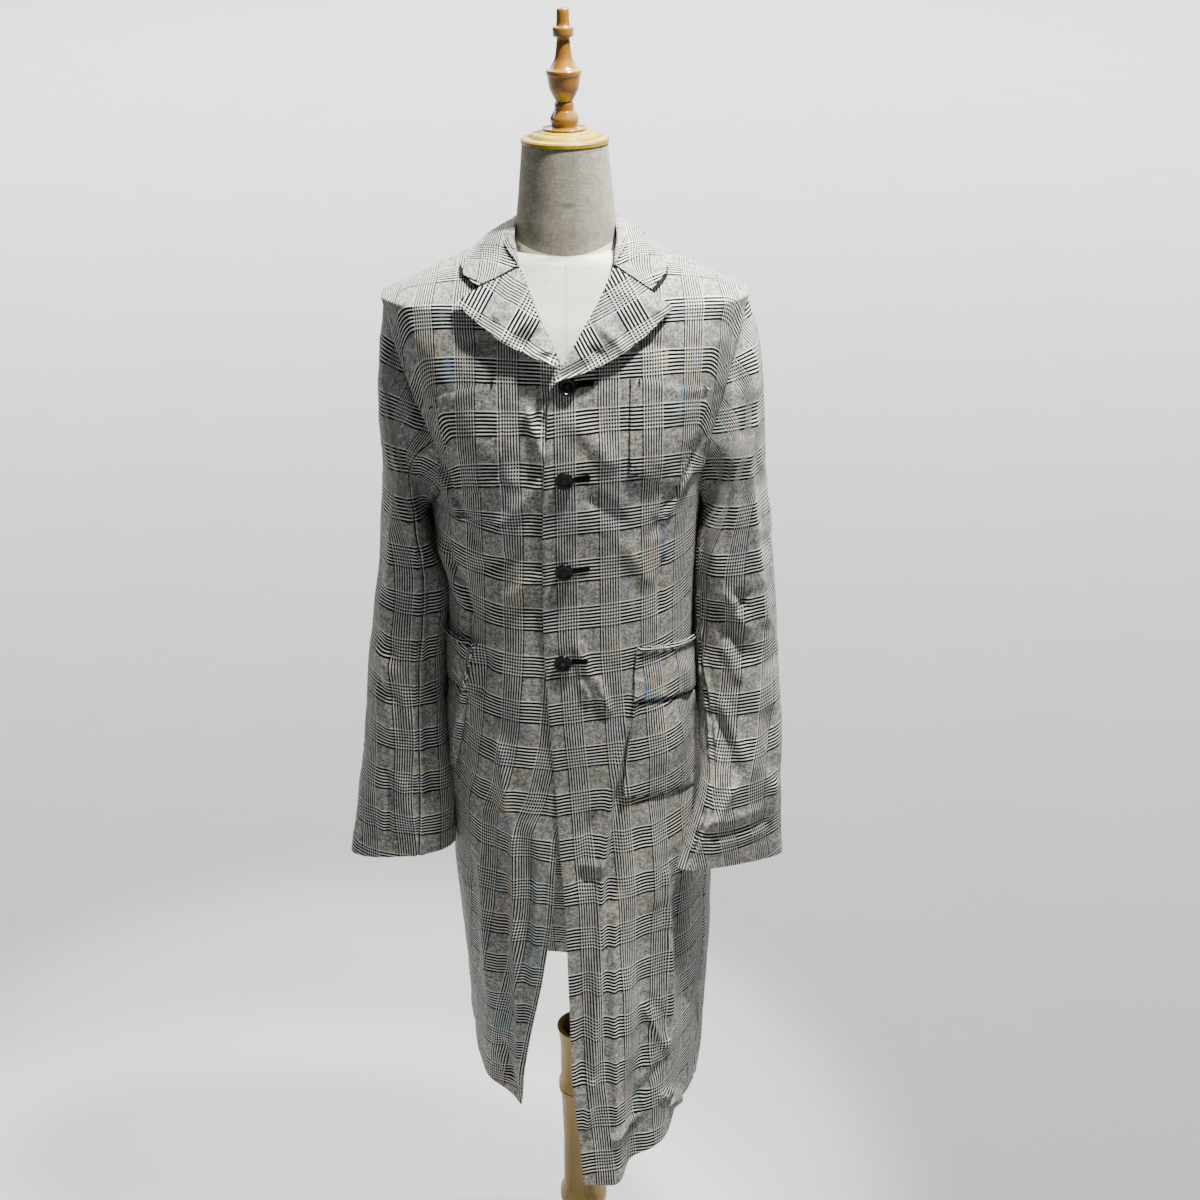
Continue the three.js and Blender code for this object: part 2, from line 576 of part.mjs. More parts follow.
function lapel(side) {
  const edge = side > 0 ? LAPEL_EDGE_RIGHT : LAPEL_EDGE_LEFT;
  const tip = edge[edge.length - 1];
  const notch = side > 0 ? NOTCH_RIGHT : NOTCH_LEFT;
  const gorge = side > 0 ? GORGE_RIGHT : GORGE_LEFT;
  const front = side > 0 ? 'upperFront' : 'underFront';
  const name = side > 0 ? 'upper' : 'under';
  const bottomZ = side > 0 ? 1440 : 1450;
  const pointAt = (across, up) => {
    const out = side > 0 ? across : 1 - across;
    const rollZ = lerp(bottomZ, gorge.z, up);
    const roll = { x: frontEdgeX(rollZ, name), z: rollZ };
    const end = { x: column(edge, 't', 'x', up), z: column(edge, 't', 'z', up) };
    const place = bentRow(roll, notch, up < 1 ? end : tip, up ** 6, out);
    const bulge = 5 * Math.sin(Math.PI * Math.min(1, out * 1.3)) * smooth(up * 3) * (1 - 0.6 * up ** 4);
    const lift = 1.2 + CLOTH + bulge + 2 * out;
    return bodyPoint(place.z, angleAt(place.x, place.z), lift, front);
  };
  return sheet(10, 8, pointAt, CLOTH);
}

// The collar: a fall over the shoulders and a stand round the neck, folded at the top. By share of the
// way from the gorge to the centre back: the neckline behind it by height and then by angle, the
// stand's height and lean, and the fall's outer edge by angle and height.
const COLLAR = [
  { t: 0, neckZ: 1541, turn: 0, stand: 2, lean: 0, lift: 3.4, edge: 48, edgeZ: 1531 },
  { t: 0.12, neckZ: 1552, turn: 0, stand: 8, lean: -3, lift: 3.4, edge: 68, edgeZ: 1541 },
  { t: 0.26, neckZ: 1562, turn: 0, stand: 14, lean: -8, lift: 0.9, edge: 93, edgeZ: 1548 },
  { t: 0.38, neckZ: 1562, turn: 0.5, stand: 12, lean: -6, lift: 0.9, edge: 138, edgeZ: 1540 },
  { t: 0.5, neckZ: 1562, turn: 1, stand: 10, lean: -5, lift: 0.9, edge: 180, edgeZ: 1533 },
];

const TORSO = [
  { z: 1005, wide: 122, front: 96, back: 92 },
  { z: 1060, wide: 118, front: 94, back: 86 },
  { z: 1120, wide: 112, front: 96, back: 80 },
  { z: 1190, wide: 118, front: 106, back: 82 },
  { z: 1262, wide: 128, front: 120, back: 90 },
  { z: 1330, wide: 140, front: 126, back: 98 },
  { z: 1400, wide: 158, front: 118, back: 98 },
  { z: 1450, wide: 172, front: 106, back: 91 },
  { z: 1475, wide: 178, front: 97, back: 80 },
  { z: 1497, wide: 178, front: 86, back: 72 },
];
const NECK = [
  { z: 1549, radius: 59 },
  { z: 1557, radius: 58 },
  { z: 1575, radius: 56.5 },
  { z: 1600, radius: 53.5 },
  { z: 1661, radius: 47.7 },
];

// Closed body from horizontal rings of points, with a flat cap at the bottom and at the top
function ringsBody(rings) {
  const around = rings[0].length;
  const positions = rings.flat().flatMap((p) => [p.x, p.y, p.z]);
  const index = [];
  const centreOf = (ring) => ring.reduce((sum, p) => sum.add(p), new THREE.Vector3()).divideScalar(around);
  for (let r = 0; r < rings.length - 1; r += 1) {
    for (let c = 0; c < around; c += 1) {
      const next = (c + 1) % around;
      const a = r * around + c;
      const b = r * around + next;
      index.push(a, b, b + around, a, b + around, a + around);
    }
  }
  [0, rings.length - 1].forEach((r, which) => {
    const centre = centreOf(rings[r]);
    const middle = positions.length / 3;
    positions.push(centre.x, centre.y, centre.z);
    for (let c = 0; c < around; c += 1) {
      const next = (c + 1) % around;
      const pair = which === 0 ? [r * around + next, r * around + c] : [r * around + c, r * around + next];
      index.push(middle, ...pair);
    }
  });
  const geometry = new THREE.BufferGeometry();
  geometry.setAttribute('position', new THREE.Float32BufferAttribute(positions, 3));
  geometry.setIndex(index);
  return facingOut(geometry);
}

// Dress form: torso below the shoulder tips, shoulders just under the coat's, then the neck
function torsoGeometry() {
  const around = 32;
  const heights = [1005, 1060, 1120, 1190, 1262, 1330, 1400, 1450, 1475, 1490, 1502, 1516, 1530, 1543];
  const angleOf = (c) => ((c + 0.5) / around) * 2 * Math.PI - Math.PI;
  const torsoRings = heights.map((z) => Array.from({ length: around }, (_, c) => {
    const angle = angleOf(c);
    const coat = section(Math.min(z + SHOULDER_DROP, NECK_POINT_Z));
    const coatWide = Math.sin(angle) >= 0 ? coat.right - coat.centre : coat.centre - coat.left;
    const own = (name) => column(TORSO, 'z', name, z);
    const wide = z > 1475 ? Math.min(coatWide, lerp(PLATE_HALF, 1000, clamp01((z - 1475) / 10))) : own('wide');
    const slope = clamp01((z - SHOULDER_TIP_Z) / (NECK_POINT_Z - SHOULDER_TIP_Z));
    const deep = Math.cos(angle) >= 0 ? lerp(own('front'), 56, slope) : lerp(own('back'), 54, slope);
    const x = wide * power(Math.sin(angle), 2 / ROUNDNESS);
    const y = -deep * power(Math.cos(angle), 2 / ROUNDNESS);
    return new THREE.Vector3(Math.max(-PLATE_HALF, Math.min(PLATE_HALF, x)) + coat.centre, y, z);
  }));
  const neckRings = NECK.map(({ z, radius }) => Array.from({ length: around }, (_, c) => (
    new THREE.Vector3(NECK_OFFSET + radius * Math.sin(angleOf(c)), -radius * Math.cos(angleOf(c)), z))));
  return ringsBody([...torsoRings, ...neckRings]);
}

// Solid turned about the form's axis from a profile of radii and heights
function turned(profile, sides) {
  const points = profile.map(({ radius, z }) => new THREE.Vector2(radius, z));
  const first = points[0];
  const last = points[points.length - 1];
  const outline = [new THREE.Vector2(0, first.y), ...points, new THREE.Vector2(0, last.y)];
  return new THREE.LatheGeometry(outline, sides).rotateX(Math.PI / 2);
}

const CAP = [
  { z: NECK_TOP_Z + SEAM, radius: CAP_RADIUS - 1 },
  { z: 1662.5, radius: CAP_RADIUS },
  { z: 1666, radius: CAP_RADIUS },
  { z: 1667.5, radius: CAP_RADIUS - 1.5 },
  { z: 1669, radius: 39 },
  { z: 1672, radius: 36.5 },
  { z: 1675.4, radius: 25 },
];

// Hollow pole: up its outside, over the lip and down the bore
const POLE = [
  { z: BASE_HEIGHT + SEAM, radius: 34 },
  { z: 60, radius: 30 },
  { z: 158, radius: 29.5 },
  { z: 168, radius: 33 },
  { z: 184, radius: 33 },
  { z: 194, radius: 28 },
  { z: 280, radius: 27 },
  { z: 355, radius: 29 },
  { z: 363, radius: 32 },
  { z: 378, radius: 32 },
  { z: 386, radius: 29 },
  { z: 440, radius: 28.5 },
  { z: 460, radius: 31 },
  { z: 470, radius: 33 },
  { z: POLE_TOP_Z, radius: 31 },
  { z: 469, radius: POLE_BORE + 2 },
  { z: 460, radius: POLE_BORE },
  { z: 392, radius: POLE_BORE },
];

const BASE = [
  { z: 0, radius: BASE_RADIUS - 3 },
  { z: 3, radius: BASE_RADIUS },
  { z: 16, radius: BASE_RADIUS },
  { z: 24, radius: BASE_RADIUS - 8 },
  { z: BASE_HEIGHT, radius: BASE_RADIUS - 22 },
];

const solidOf = (geometry) => {
  const bare = geometry.clone();
  ['normal', 'uv'].forEach((name) => bare.deleteAttribute(name));
  const merged = mergeVertices(bare, 1e-4);
  return new wasm.Manifold(new wasm.Mesh({
    numProp: 3,
    vertProperties: merged.getAttribute('position').array,
    triVerts: new Uint32Array(merged.getIndex().array),
  }));
};

function geometryOf(solid) {
  const mesh = solid.getMesh();
  const geometry = new THREE.BufferGeometry();
  geometry.setAttribute('position', new THREE.Float32BufferAttribute(mesh.vertProperties, 3));
  geometry.setIndex(Array.from(mesh.triVerts));
  return geometry;
}

// Button with a raised rim, a dished middle and four sewing holes, its axis along +Z
function buttonGeometry() {
  const disc = turned([
    { z: 0, radius: BUTTON_RADIUS - 2 },
    { z: 1.2, radius: BUTTON_RADIUS },
    { z: 2.6, radius: BUTTON_RADIUS },
    { z: BUTTON_THICKNESS, radius: BUTTON_RADIUS - 1.4 },
    { z: 2.4, radius: BUTTON_RADIUS - 3.4 },
  ], 16);
  const holes = [45, 135, 225, 315].map((degrees) => {
    const hole = new THREE.CylinderGeometry(0.95, 0.95, 8, 5).rotateX(Math.PI / 2);
    return solidOf(hole.translate(2.3 * Math.cos(radians(degrees)), 2.3 * Math.sin(radians(degrees)), 1));
  });
  return geometryOf(holes.reduce((left, hole) => left.subtract(hole), solidOf(disc)));
}

const cloth = (tint) => new THREE.MeshStandardMaterial({ color: tint, roughness: 0.9, metalness: 0 });
const LIGHT_CHECK = 0x8f8c86;
const DARK_CHECK = 0x7d7b76;
const LINEN = 0xc9c0ae;
const OAK = 0xc9a063;
const BAMBOO = 0xd9bd86;
const STEEL = 0xa8a8a8;
const BLACK_HORN = 0x17171a;

const coat = new THREE.Group();
function add(name, geometry, material) {
  const mesh = new THREE.Mesh(geometry, material);
  mesh.name = name;
  coat.add(mesh);
  return mesh;
}

add('front_left', sheet(30, 11, frontLeftPoint, CLOTH, beforeSeam), cloth(LIGHT_CHECK));
add('front_right', sheet(30, 11, frontRightPoint, CLOTH, beforeSeam), cloth(LIGHT_CHECK));
add('back', sheet(28, 20, backPoint, CLOTH, behindSeam), cloth(DARK_CHECK));

const STAND_GAP = 1.4; // height of the collar's foot over the neckline
const NOTCH_GAP = 2; // height of the collar's end over the lapel's top edge
const NOTCH_SHARE = 0.36; // share of the collar's front edge that lies outside its notch
const NOTCH_FADE = 0.07; // share of the collar's length over which its bent end straightens

// Collar from its rows: from the outer edge of the fall, over the fold, down to the stand's foot
function collarPoint(across, along) {
  const side = along < 0.5 ? 1 : -1;
  const t = along < 0.5 ? along : 1 - along;
  const at = (name) => column(COLLAR, 't', name, t);
  const neckZ = Math.min(at('neckZ'), NECK_POINT_Z);
  const neckX = frontEdgeX(neckZ, side > 0 ? 'upper' : 'under');
  const neckAngle = lerp(angleAt(neckX, neckZ), side * Math.PI, at('turn'));
  const foot = bodyPoint(neckZ, neckAngle, at('lift') - 0.6).setZ(neckZ + STAND_GAP);
  const fold = bodyPoint(neckZ, neckAngle, at('lift') + at('lean')).setZ(neckZ + STAND_GAP + at('stand'));
  const edge = bodyPoint(at('edgeZ'), side * radians(at('edge')), 1.4 + CLOTH);
  const foldShare = 0.62;
  if (across > foldShare) return fold.lerp(foot, (across - foldShare) / (1 - foldShare));
  const s = across / foldShare;
  const notch = side > 0 ? NOTCH_RIGHT : NOTCH_LEFT;
  const cornerZ = notch.z + NOTCH_GAP;
  const corner = bodyPoint(cornerZ, angleAt(notch.x, cornerZ), 5);
  const bent = s < NOTCH_SHARE
    ? edge.clone().lerp(corner, s / NOTCH_SHARE)
    : corner.lerp(fold, (s - NOTCH_SHARE) / (1 - NOTCH_SHARE));
  const rise = new THREE.Vector3(0, 0, ROLL_RISE * Math.sin(Math.PI * s));
  return edge.lerp(fold, s).add(rise).lerp(bent, clamp01(1 - t / NOTCH_FADE) ** 2);
}

add('lapel_left', lapel(1), cloth(LIGHT_CHECK));
add('lapel_right', lapel(-1), cloth(LIGHT_CHECK));
add('collar', sheet(24, 8, collarPoint), cloth(DARK_CHECK));

[['left', 1], ['right', -1]].forEach(([name, side]) => {
  const [top, under] = sleeveHalves(side);
  add(`sleeve_${name}_top`, top, cloth(LIGHT_CHECK));
  add(`sleeve_${name}_under`, under, cloth(DARK_CHECK));
});

add('chest_pocket_left', patch(CHEST_RIGHT, 5, 5, PATCH_LIFT, PATCH_CLOTH, 1), cloth(LIGHT_CHECK));
add('chest_pocket_right', patch(CHEST_LEFT, 5, 5, PATCH_LIFT, PATCH_CLOTH, 1), cloth(LIGHT_CHECK));
add('hip_pocket_left', patch(HIP_RIGHT, 6, 7, PATCH_LIFT, PATCH_CLOTH, 7), cloth(LIGHT_CHECK));
add('hip_pocket_right', patch(HIP_LEFT, 6, 7, PATCH_LIFT, PATCH_CLOTH, 7), cloth(LIGHT_CHECK));
add('hip_flap_left', patch(FLAP_RIGHT, 4, 7, PATCH_LIFT, 2, 1.5), cloth(LIGHT_CHECK));
add('hip_flap_right', patch(FLAP_LEFT, 4, 7, PATCH_LIFT, 2, 1.5), cloth(LIGHT_CHECK));
add('hip_welt_left', patch(WELT_RIGHT, 1, 7, PATCH_LIFT, 4), cloth(DARK_CHECK));
add('hip_welt_right', patch(WELT_LEFT, 1, 7, PATCH_LIFT, 4), cloth(DARK_CHECK));

BUTTONS.forEach(({ x, z }, i) => {
  const button = add(`button_${i + 1}`, buttonGeometry(), cloth(BLACK_HORN));
  const angle = angleAt(x, z);
  const seat = bodyPoint(z, angle, 0.5);
  const beside = bodyPoint(z, angle + 0.02).sub(bodyPoint(z, angle - 0.02));
  const above = bodyPoint(z + 4, angle).sub(bodyPoint(z - 4, angle));
  button.quaternion.setFromUnitVectors(new THREE.Vector3(0, 0, 1), beside.cross(above).normalize());
  button.position.copy(seat);
});

const wood = new THREE.MeshStandardMaterial({ color: OAK, roughness: 0.35, metalness: 0 });
const cane = new THREE.MeshStandardMaterial({ color: BAMBOO, roughness: 0.5, metalness: 0 });
const steel = new THREE.MeshStandardMaterial({ color: STEEL, roughness: 0.4, metalness: 1 });
const rod = { bottom: 392 + SEAM, top: TORSO_BOTTOM_Z - SEAM };
add('form_torso', torsoGeometry(), cloth(LINEN));
const finial = turned(FINIAL.map(({ z, radius }) => ({ z: z + FINIAL_FOOT_Z, radius })), 16);
add('neck_cap', turned(CAP, 24).translate(NECK_OFFSET, 0, 0), wood);
add('finial', finial.translate(NECK_OFFSET, 0, 0), wood);
add('pole', turned(POLE, 18), cane);
add('rod', turned([{ z: rod.bottom, radius: ROD_RADIUS }, { z: rod.top, radius: ROD_RADIUS }], 12), steel);
add('base', turned(BASE, 32), cane);

export default coat;
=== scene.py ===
# Half coat in glen check wool on a limbless dress form with a turned pole and a round base.
# The tables and the shape functions are in millimetres and give the same forms as the CAD. Meshes
# are written in metres. -Y is the front and +X is the wearer's left.
import math

import bpy
import numpy as np
from mathutils import Matrix, Vector


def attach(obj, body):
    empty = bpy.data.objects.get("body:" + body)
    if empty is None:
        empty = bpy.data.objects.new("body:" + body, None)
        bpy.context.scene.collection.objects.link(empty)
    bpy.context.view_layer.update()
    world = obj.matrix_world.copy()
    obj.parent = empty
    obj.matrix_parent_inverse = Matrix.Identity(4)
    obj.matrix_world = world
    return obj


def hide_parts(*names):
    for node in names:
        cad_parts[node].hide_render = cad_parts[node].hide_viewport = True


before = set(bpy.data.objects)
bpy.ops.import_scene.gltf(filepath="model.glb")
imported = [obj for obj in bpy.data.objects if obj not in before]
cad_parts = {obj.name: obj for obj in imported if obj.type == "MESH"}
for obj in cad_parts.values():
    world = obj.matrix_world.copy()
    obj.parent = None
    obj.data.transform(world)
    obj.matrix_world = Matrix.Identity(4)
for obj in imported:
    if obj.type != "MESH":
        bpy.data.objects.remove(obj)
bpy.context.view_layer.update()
rng = np.random.default_rng(1703)

# Thicknesses, gaps and heights that many pieces share
CLOTH = 1.8
SEAM = 0.3
OVERLAP_DROP = 2.7
ROLL_RISE = 3.5
ARMHOLE_TUCK = 3.0
NECK_OFFSET = -2.5
STAND_GAP = 1.4
NOTCH_GAP = 2
NOTCH_SHARE = 0.36
NOTCH_FADE = 0.07
AT_CORNER = 0.72
PATCH_LIFT = 0.75
PATCH_CLOTH = 1.5
UNDERARM_Z = 1262
SHOULDER_TIP_Z = 1497
NECK_POINT_Z = 1562
ROUNDNESS = 2.4
SKIRT_SHARE = 0.66
QUARTER = math.pi / 2
SEAM_SHIFT = SEAM / 150
BREAK_Z = 1430
EDGE_TURN_Z = 1150
BACK_SKIRT = 785
GORGE_Z = 1541
HEM_GUESS_Z = 450
FOLD_FOOT_Z = 420
FOLD_TALL = 620
SLEEVE_GIRTH = 330
HEM_FOLD = 27
HEM_INSIDE = 24

# A side is 1 for the wearer's left, on top, and -1 for the right, underneath
EDGE_OF = {1: "upper", -1: "under"}
FRONT_OF = {1: "upperFront", -1: "underFront"}
NODE_OF = {1: "front_left", -1: "front_right"}
SIDE_NAMES = {1: "left", -1: "right"}


def table(names, rows):
    """Columns by name, from rows that follow the order of the names."""
    return {name: np.array([row[i] for row in rows], float) for i, name in enumerate(names.split())}


BODY = table("z left right centre underFront upperFront back", [
    (400, -144, 158, 6, 172, 262, 162),
    (500, -146, 162, 0, 174, 240, 163),
    (600, -151, 168, -4, 174, 215, 164),
    (700, -156, 172, -8, 170, 192, 162),
    (800, -160, 172, -10, 163, 172, 157),
    (900, -158, 160, -12, 156, 156, 149),
    (1000, -155, 151, -13, 148, 148, 134),
    (1110, -154, 147, -12, 141, 141, 112),
    (1170, -156, 147, -10, 138, 138, 103),
    (1220, -165, 149, -9, 138, 138, 104),
    (1262, -167, 152, -8, 139, 139, 107),
    (1330, -170, 165, -6, 138, 138, 111),
    (1400, -193, 184, -5, 129, 129, 109),
    (1450, -206, 196, -5, 117, 117, 101),
    (1497, -214, 204, -5, 99, 99, 88),
])
NECK_POINT = {"left": -72, "right": 66, "centre": -3, "underFront": 67, "upperFront": 67, "back": 66}
FRONT_EDGES = table("z upper under", [
    (400, 6, -80), (490, 0, -73), (590, -9, -59), (700, -12, -42), (780, -14, -30), (872, -20, -23),
    (930, -23, -2), (1020, -29, 16), (1150, -34, 25), (1290, -31, 26), (1364, -26, 22),
    (1407, -22, 12), (1430, -15, -1),
])
ROLL_LINES = table("z upper under", [
    (1430, -15, -1), (1473, 11, -22), (1510, 34, -38), (1543, 51, -54), (1562, 66, -72),
])
ARMHOLES = table("z frontLeft frontRight backLeft backRight", [
    (1262, 1, 1, 1, 1), (1267, 0.95, 0.985, 0.98, 0.98), (1280, 0.9, 0.96, 0.95, 0.95),
    (1300, 0.88, 0.95, 0.93, 0.93), (1331, 0.88, 0.945, 0.925, 0.925),
    (1365, 0.895, 0.945, 0.93, 0.93), (1404, 0.915, 0.945, 0.94, 0.94),
    (1446, 0.938, 0.955, 0.955, 0.955), (1480, 0.975, 0.98, 0.98, 0.98), (1497, 1, 1, 1, 1),
])
SIDE_SEAMS = table("z left right", [(400, -100, 64), (700, -98, 68), (930, -95, 78), (1262, -90, 90)])

# Skirt folds: degrees at the hem and at the waist, half width in degrees, height and top
FOLDS = [
    (-2, 8, 7, 5, 1020), (10, 24, 6, 11, 1040), (20, 33, 6, -12, 900), (34, 42, 8, 6, 860),
    (50, 56, 8, -6, 800), (82, 88, 10, 3, 900), (108, 104, 9, -7, 860), (135, 130, 11, 9, 960),
    (160, 158, 9, -7, 900), (-160, -158, 10, 8, 940), (-134, -130, 10, -8, 880),
    (-112, -108, 9, 8, 960), (-78, -70, 8, -6, 860), (-50, -34, 8, 6, 1010), (-36, -18, 7, -5, 880),
]

# Fullness over the hips: degrees, height, half width in degrees, half height and how far out
WAIST_FULLNESS = [(104, 1130, 14, 110, 9), (-104, 1110, 14, 110, 7)]

# Heights of the hem round the body
HEM = table("degrees z", [
    (-180, 472), (-130, 488), (-90, 508), (-50, 490), (-27, 462), (-20, 456), (-8, 426), (10, 427),
    (28, 452), (60, 478), (90, 494), (130, 482), (180, 472),
])

# Rings of the sleeves: middle, half sizes, drop of the middle at the sides, and turn in degrees
SLEEVES = {
    1: table("z x y wide deep tilt turn", [
        (1345, 185, -4, 31, 66, 105, 0), (1255, 188.5, -8, 40.5, 70, 42, 0),
        (1168, 192, -16, 48.5, 65, 10, 2), (1072, 196, -28, 51.5, 58, 2, 6),
        (972, 202.5, -58, 52.5, 42, -6, 20), (905, 202, -86, 58, 28, -10, 31),
        (806, 190, -108, 79, 18, -15, 33),
    ]),
    -1: table("z x y wide deep tilt turn", [
        (1345, -194, -4, 24, 66, 105, 0), (1255, -193.5, -8, 29.5, 71, 42, 0),
        (1168, -190.5, -16, 43, 68, 10, 0), (1066, -202.5, -28, 47.8, 63, 2, 0),
        (972, -208.5, -42, 51.5, 55, 0, 0), (890, -212.5, -55, 60, 45, -4, -2),
        (806, -220, -68, 65.5, 30, -7, -2),
    ]),
}
FRONT_SEAMS = {1: 0.42, -1: 0.3}
BACK_SEAM = 0.72
SLEEVE_ROUND = 0.92

# Pocket pieces: inner edge sideways and outer edge in degrees, each at the top and the bottom, then
# the heights of the top and the bottom, and the drop to the outer edge
PATCHES = {
    "hip_pocket_left": (67, 56, 72, 66, 1038, 919, 20),
    "hip_pocket_right": (-122, -144, -93, -106, 1040, 925, 12),
    "hip_flap_left": (72, 66, 76, 75, 1101, 1045, 22),
    "hip_flap_right": (-112, -121, -90, -92, 1102, 1046, 12),
    "hip_welt_left": (73, 72, 76.5, 76.5, 1109, 1103, 22),
    "hip_welt_right": (-111, -112, -90, -90, 1110, 1104, 12),
    "chest_pocket_left": (67, 65, 57, 49, 1430, 1322, 27),
    "chest_pocket_right": (-74, -77, -52, -46, 1428, 1312, 30),
}
LAPEL_EDGES = {
    1: table("t x z", [
        (0, -17, 1428), (0.25, 24, 1441), (0.55, 60, 1459), (0.8, 90, 1480), (1, 112, 1501),
    ]),
    -1: table("t x z", [
        (0, -13, 1446), (0.25, -42, 1457), (0.55, -72, 1472), (0.8, -99, 1491), (1, -119, 1508),
    ]),
}
LAPEL_FOOT_Z = {1: 1430, -1: 1450}
NOTCHES = {1: (89, 1516), -1: (-96, 1521)}
COLLAR = table("t neckZ turn stand lean lift edge edgeZ", [
    (0, 1541, 0, 2, -1, 3.4, 48, 1531), (0.12, 1552, 0, 6, -12, 3.4, 68, 1541),
    (0.26, 1562, 0, 13, -15, 0.9, 93, 1548), (0.38, 1562, 0.5, 12, -6, 0.9, 138, 1540),
    (0.5, 1562, 1, 10, -5, 0.9, 180, 1533),
])
BUTTONS = [(-2, 1421), (-7, 1317), (-9, 1207), (-12, 1094)]


def lerp(a, b, t):
    return a + (b - a) * t


def clamp01(t):
    return np.clip(t, 0.0, 1.0)


def smooth(t):
    t = clamp01(t)
    return t * t * (3 - 2 * t)


def power(value, exponent):
    return np.sign(value) * np.abs(value) ** exponent


def unit(v):
    return v / np.maximum(np.linalg.norm(v, axis=-1, keepdims=True), 1e-9)


def ridge(away, half):
    """Soft bump of height 1 that fades out over a half width."""
    return np.exp(-((away / half) ** 2))


def mound(x, wide, z, tall):
    """Soft round bump of height 1 that fades out over two half sizes."""
    return np.exp(-((x / wide) ** 2) - (z / tall) ** 2)


def column(rows, key, name, at):
    """A table's column at a place along its key, on a smooth curve through the rows."""
    keys, values = rows[key], rows[name]
    at = np.clip(np.asarray(at, float), keys[0], keys[-1])
    steps = np.diff(keys)
    slopes = np.diff(values) / steps
    i = np.clip(np.searchsorted(keys, at, side="left") - 1, 0, len(steps) - 1)
    here = slopes[i]
    before = slopes[np.maximum(i - 1, 0)]
    after = slopes[np.minimum(i + 1, len(slopes) - 1)]

    def tangent(other):
        total = other + here
        return np.where(other * here > 0, 2 * other * here / np.where(total == 0, 1, total), 0)

    start, end = tangent(before), tangent(after)
    t = (at - keys[i]) / steps[i]
    cubic = (2 * t**3 - 3 * t * t + 1) * values[i] + (3 * t * t - 2 * t**3) * values[i + 1]
    return cubic + steps[i] * ((t**3 - 2 * t * t + t) * start + (t**3 - t * t) * end)


def section(z):
    """The body's reach to each side, to the front and to the back at a height."""
    z = np.asarray(z, float)
    share = clamp01((z - SHOULDER_TIP_Z) / (NECK_POINT_Z - SHOULDER_TIP_Z))

    def at(name):
        above = lerp(BODY[name][-1], NECK_POINT[name], share)
        return np.where(z > SHOULDER_TIP_Z, above, column(BODY, "z", name, z))

    return {name: at(name) for name in NECK_POINT}


def angle_at(x, z):
    """Angle round the body, from the front, of a place sideways and up."""
    s = section(z)
    reach = np.where(x >= s["centre"], s["right"] - s["centre"], s["centre"] - s["left"])
    return np.arcsin(power(np.clip((x - s["centre"]) / reach, -1, 1), ROUNDNESS / 2))


def fold_height(z, angle):
    degrees = np.mod(np.degrees(angle) + 180, 360) - 180
    total = np.zeros(np.broadcast(z, angle).shape)
    for middle, middle_z, half, tall, height in WAIST_FULLNESS:
        total = total + height * mound(degrees - middle, half, z - middle_z, tall)
    for hem, waist, half, height, top in FOLDS:
        up = clamp01((z - FOLD_FOOT_Z) / (top - FOLD_FOOT_Z))
        middle = lerp(hem, waist, clamp01((z - FOLD_FOOT_Z) / FOLD_TALL))
        total = total + height * (1 - smooth(up)) * ridge(degrees - middle, half)
    return total


def body_point(z, angle, out=0.0, front="upperFront"):
    """Points on the coat's outside at heights and angles, moved out along its level normal."""
    z, angle = np.broadcast_arrays(np.asarray(z, float), np.asarray(angle, float))
    s = section(z)
    sine, cosine = np.sin(angle), np.cos(angle)
    wide = np.where(sine >= 0, s["right"] - s["centre"], s["centre"] - s["left"])
    deep = np.where(cosine >= 0, s[front], s["back"])
    x = wide * power(sine, 2 / ROUNDNESS)
    y = -deep * power(cosine, 2 / ROUNDNESS)
    nx, ny = x / wide**2, y / deep**2
    size = np.hypot(nx, ny)
    push = out + fold_height(z, angle)
    return np.stack([s["centre"] + x + nx / size * push, y + ny / size * push, z], -1)


def front_edge_x(z, name):
    return np.where(z < BREAK_Z, column(FRONT_EDGES, "z", name, z), column(ROLL_LINES, "z", name, z))


def armhole_angle(z, name):
    return np.arcsin(column(ARMHOLES, "z", name, z) ** (ROUNDNESS / 2))


def upper_share(up):
    """Share of the height above the underarm, with the rows closer together near the shoulder."""
    return 1 - (1 - (up - SKIRT_SHARE) / (1 - SKIRT_SHARE)) ** 1.25


def panel_place(across, up, inner_angle, outer_angle):
    """Heights and angles of a panel that runs between two edges, from the hem to the shoulder."""
    t = up / SKIRT_SHARE
    rough = lerp(HEM_GUESS_Z, UNDERARM_Z, t)
    low_angle = lerp(inner_angle(rough), outer_angle(rough), across)
    low_z = lerp(column(HEM, "degrees", "z", np.degrees(low_angle)), UNDERARM_Z, t)
    t = upper_share(np.maximum(up, SKIRT_SHARE))
    inner_z = lerp(UNDERARM_Z, NECK_POINT_Z, t)
    outer_z = lerp(UNDERARM_Z, SHOULDER_TIP_Z, t)
    high_angle = lerp(inner_angle(inner_z), outer_angle(outer_z), across)
    high_z = lerp(inner_z, outer_z, across)
    low = up <= SKIRT_SHARE
    return np.where(low, low_z, high_z), np.where(low, low_angle, high_angle)


def under_drop(z, angle):
    """How far the under front sinks where the upper front lies over it."""
    edge = angle_at(front_edge_x(z, "upper"), z)
    return -OVERLAP_DROP * smooth((z - 800) / 70) * smooth((angle - edge + 0.2) / 0.14)


def front_place(side, across, up):
    """Height and angle on a front, with across from its own free edge to its side seam."""
    seam, hole = ("right", "frontRight") if side > 0 else ("left", "frontLeft")

    def inner(z):
        return angle_at(front_edge_x(z, EDGE_OF[side]), z)

    def outer(z):
        below = np.radians(column(SIDE_SEAMS, "z", seam, z)) - side * SEAM_SHIFT
        above = side * np.minimum(armhole_angle(z, hole), QUARTER - SEAM_SHIFT)
        return np.where(z <= UNDERARM_Z, below, above)

    return panel_place(across, up, inner, outer)


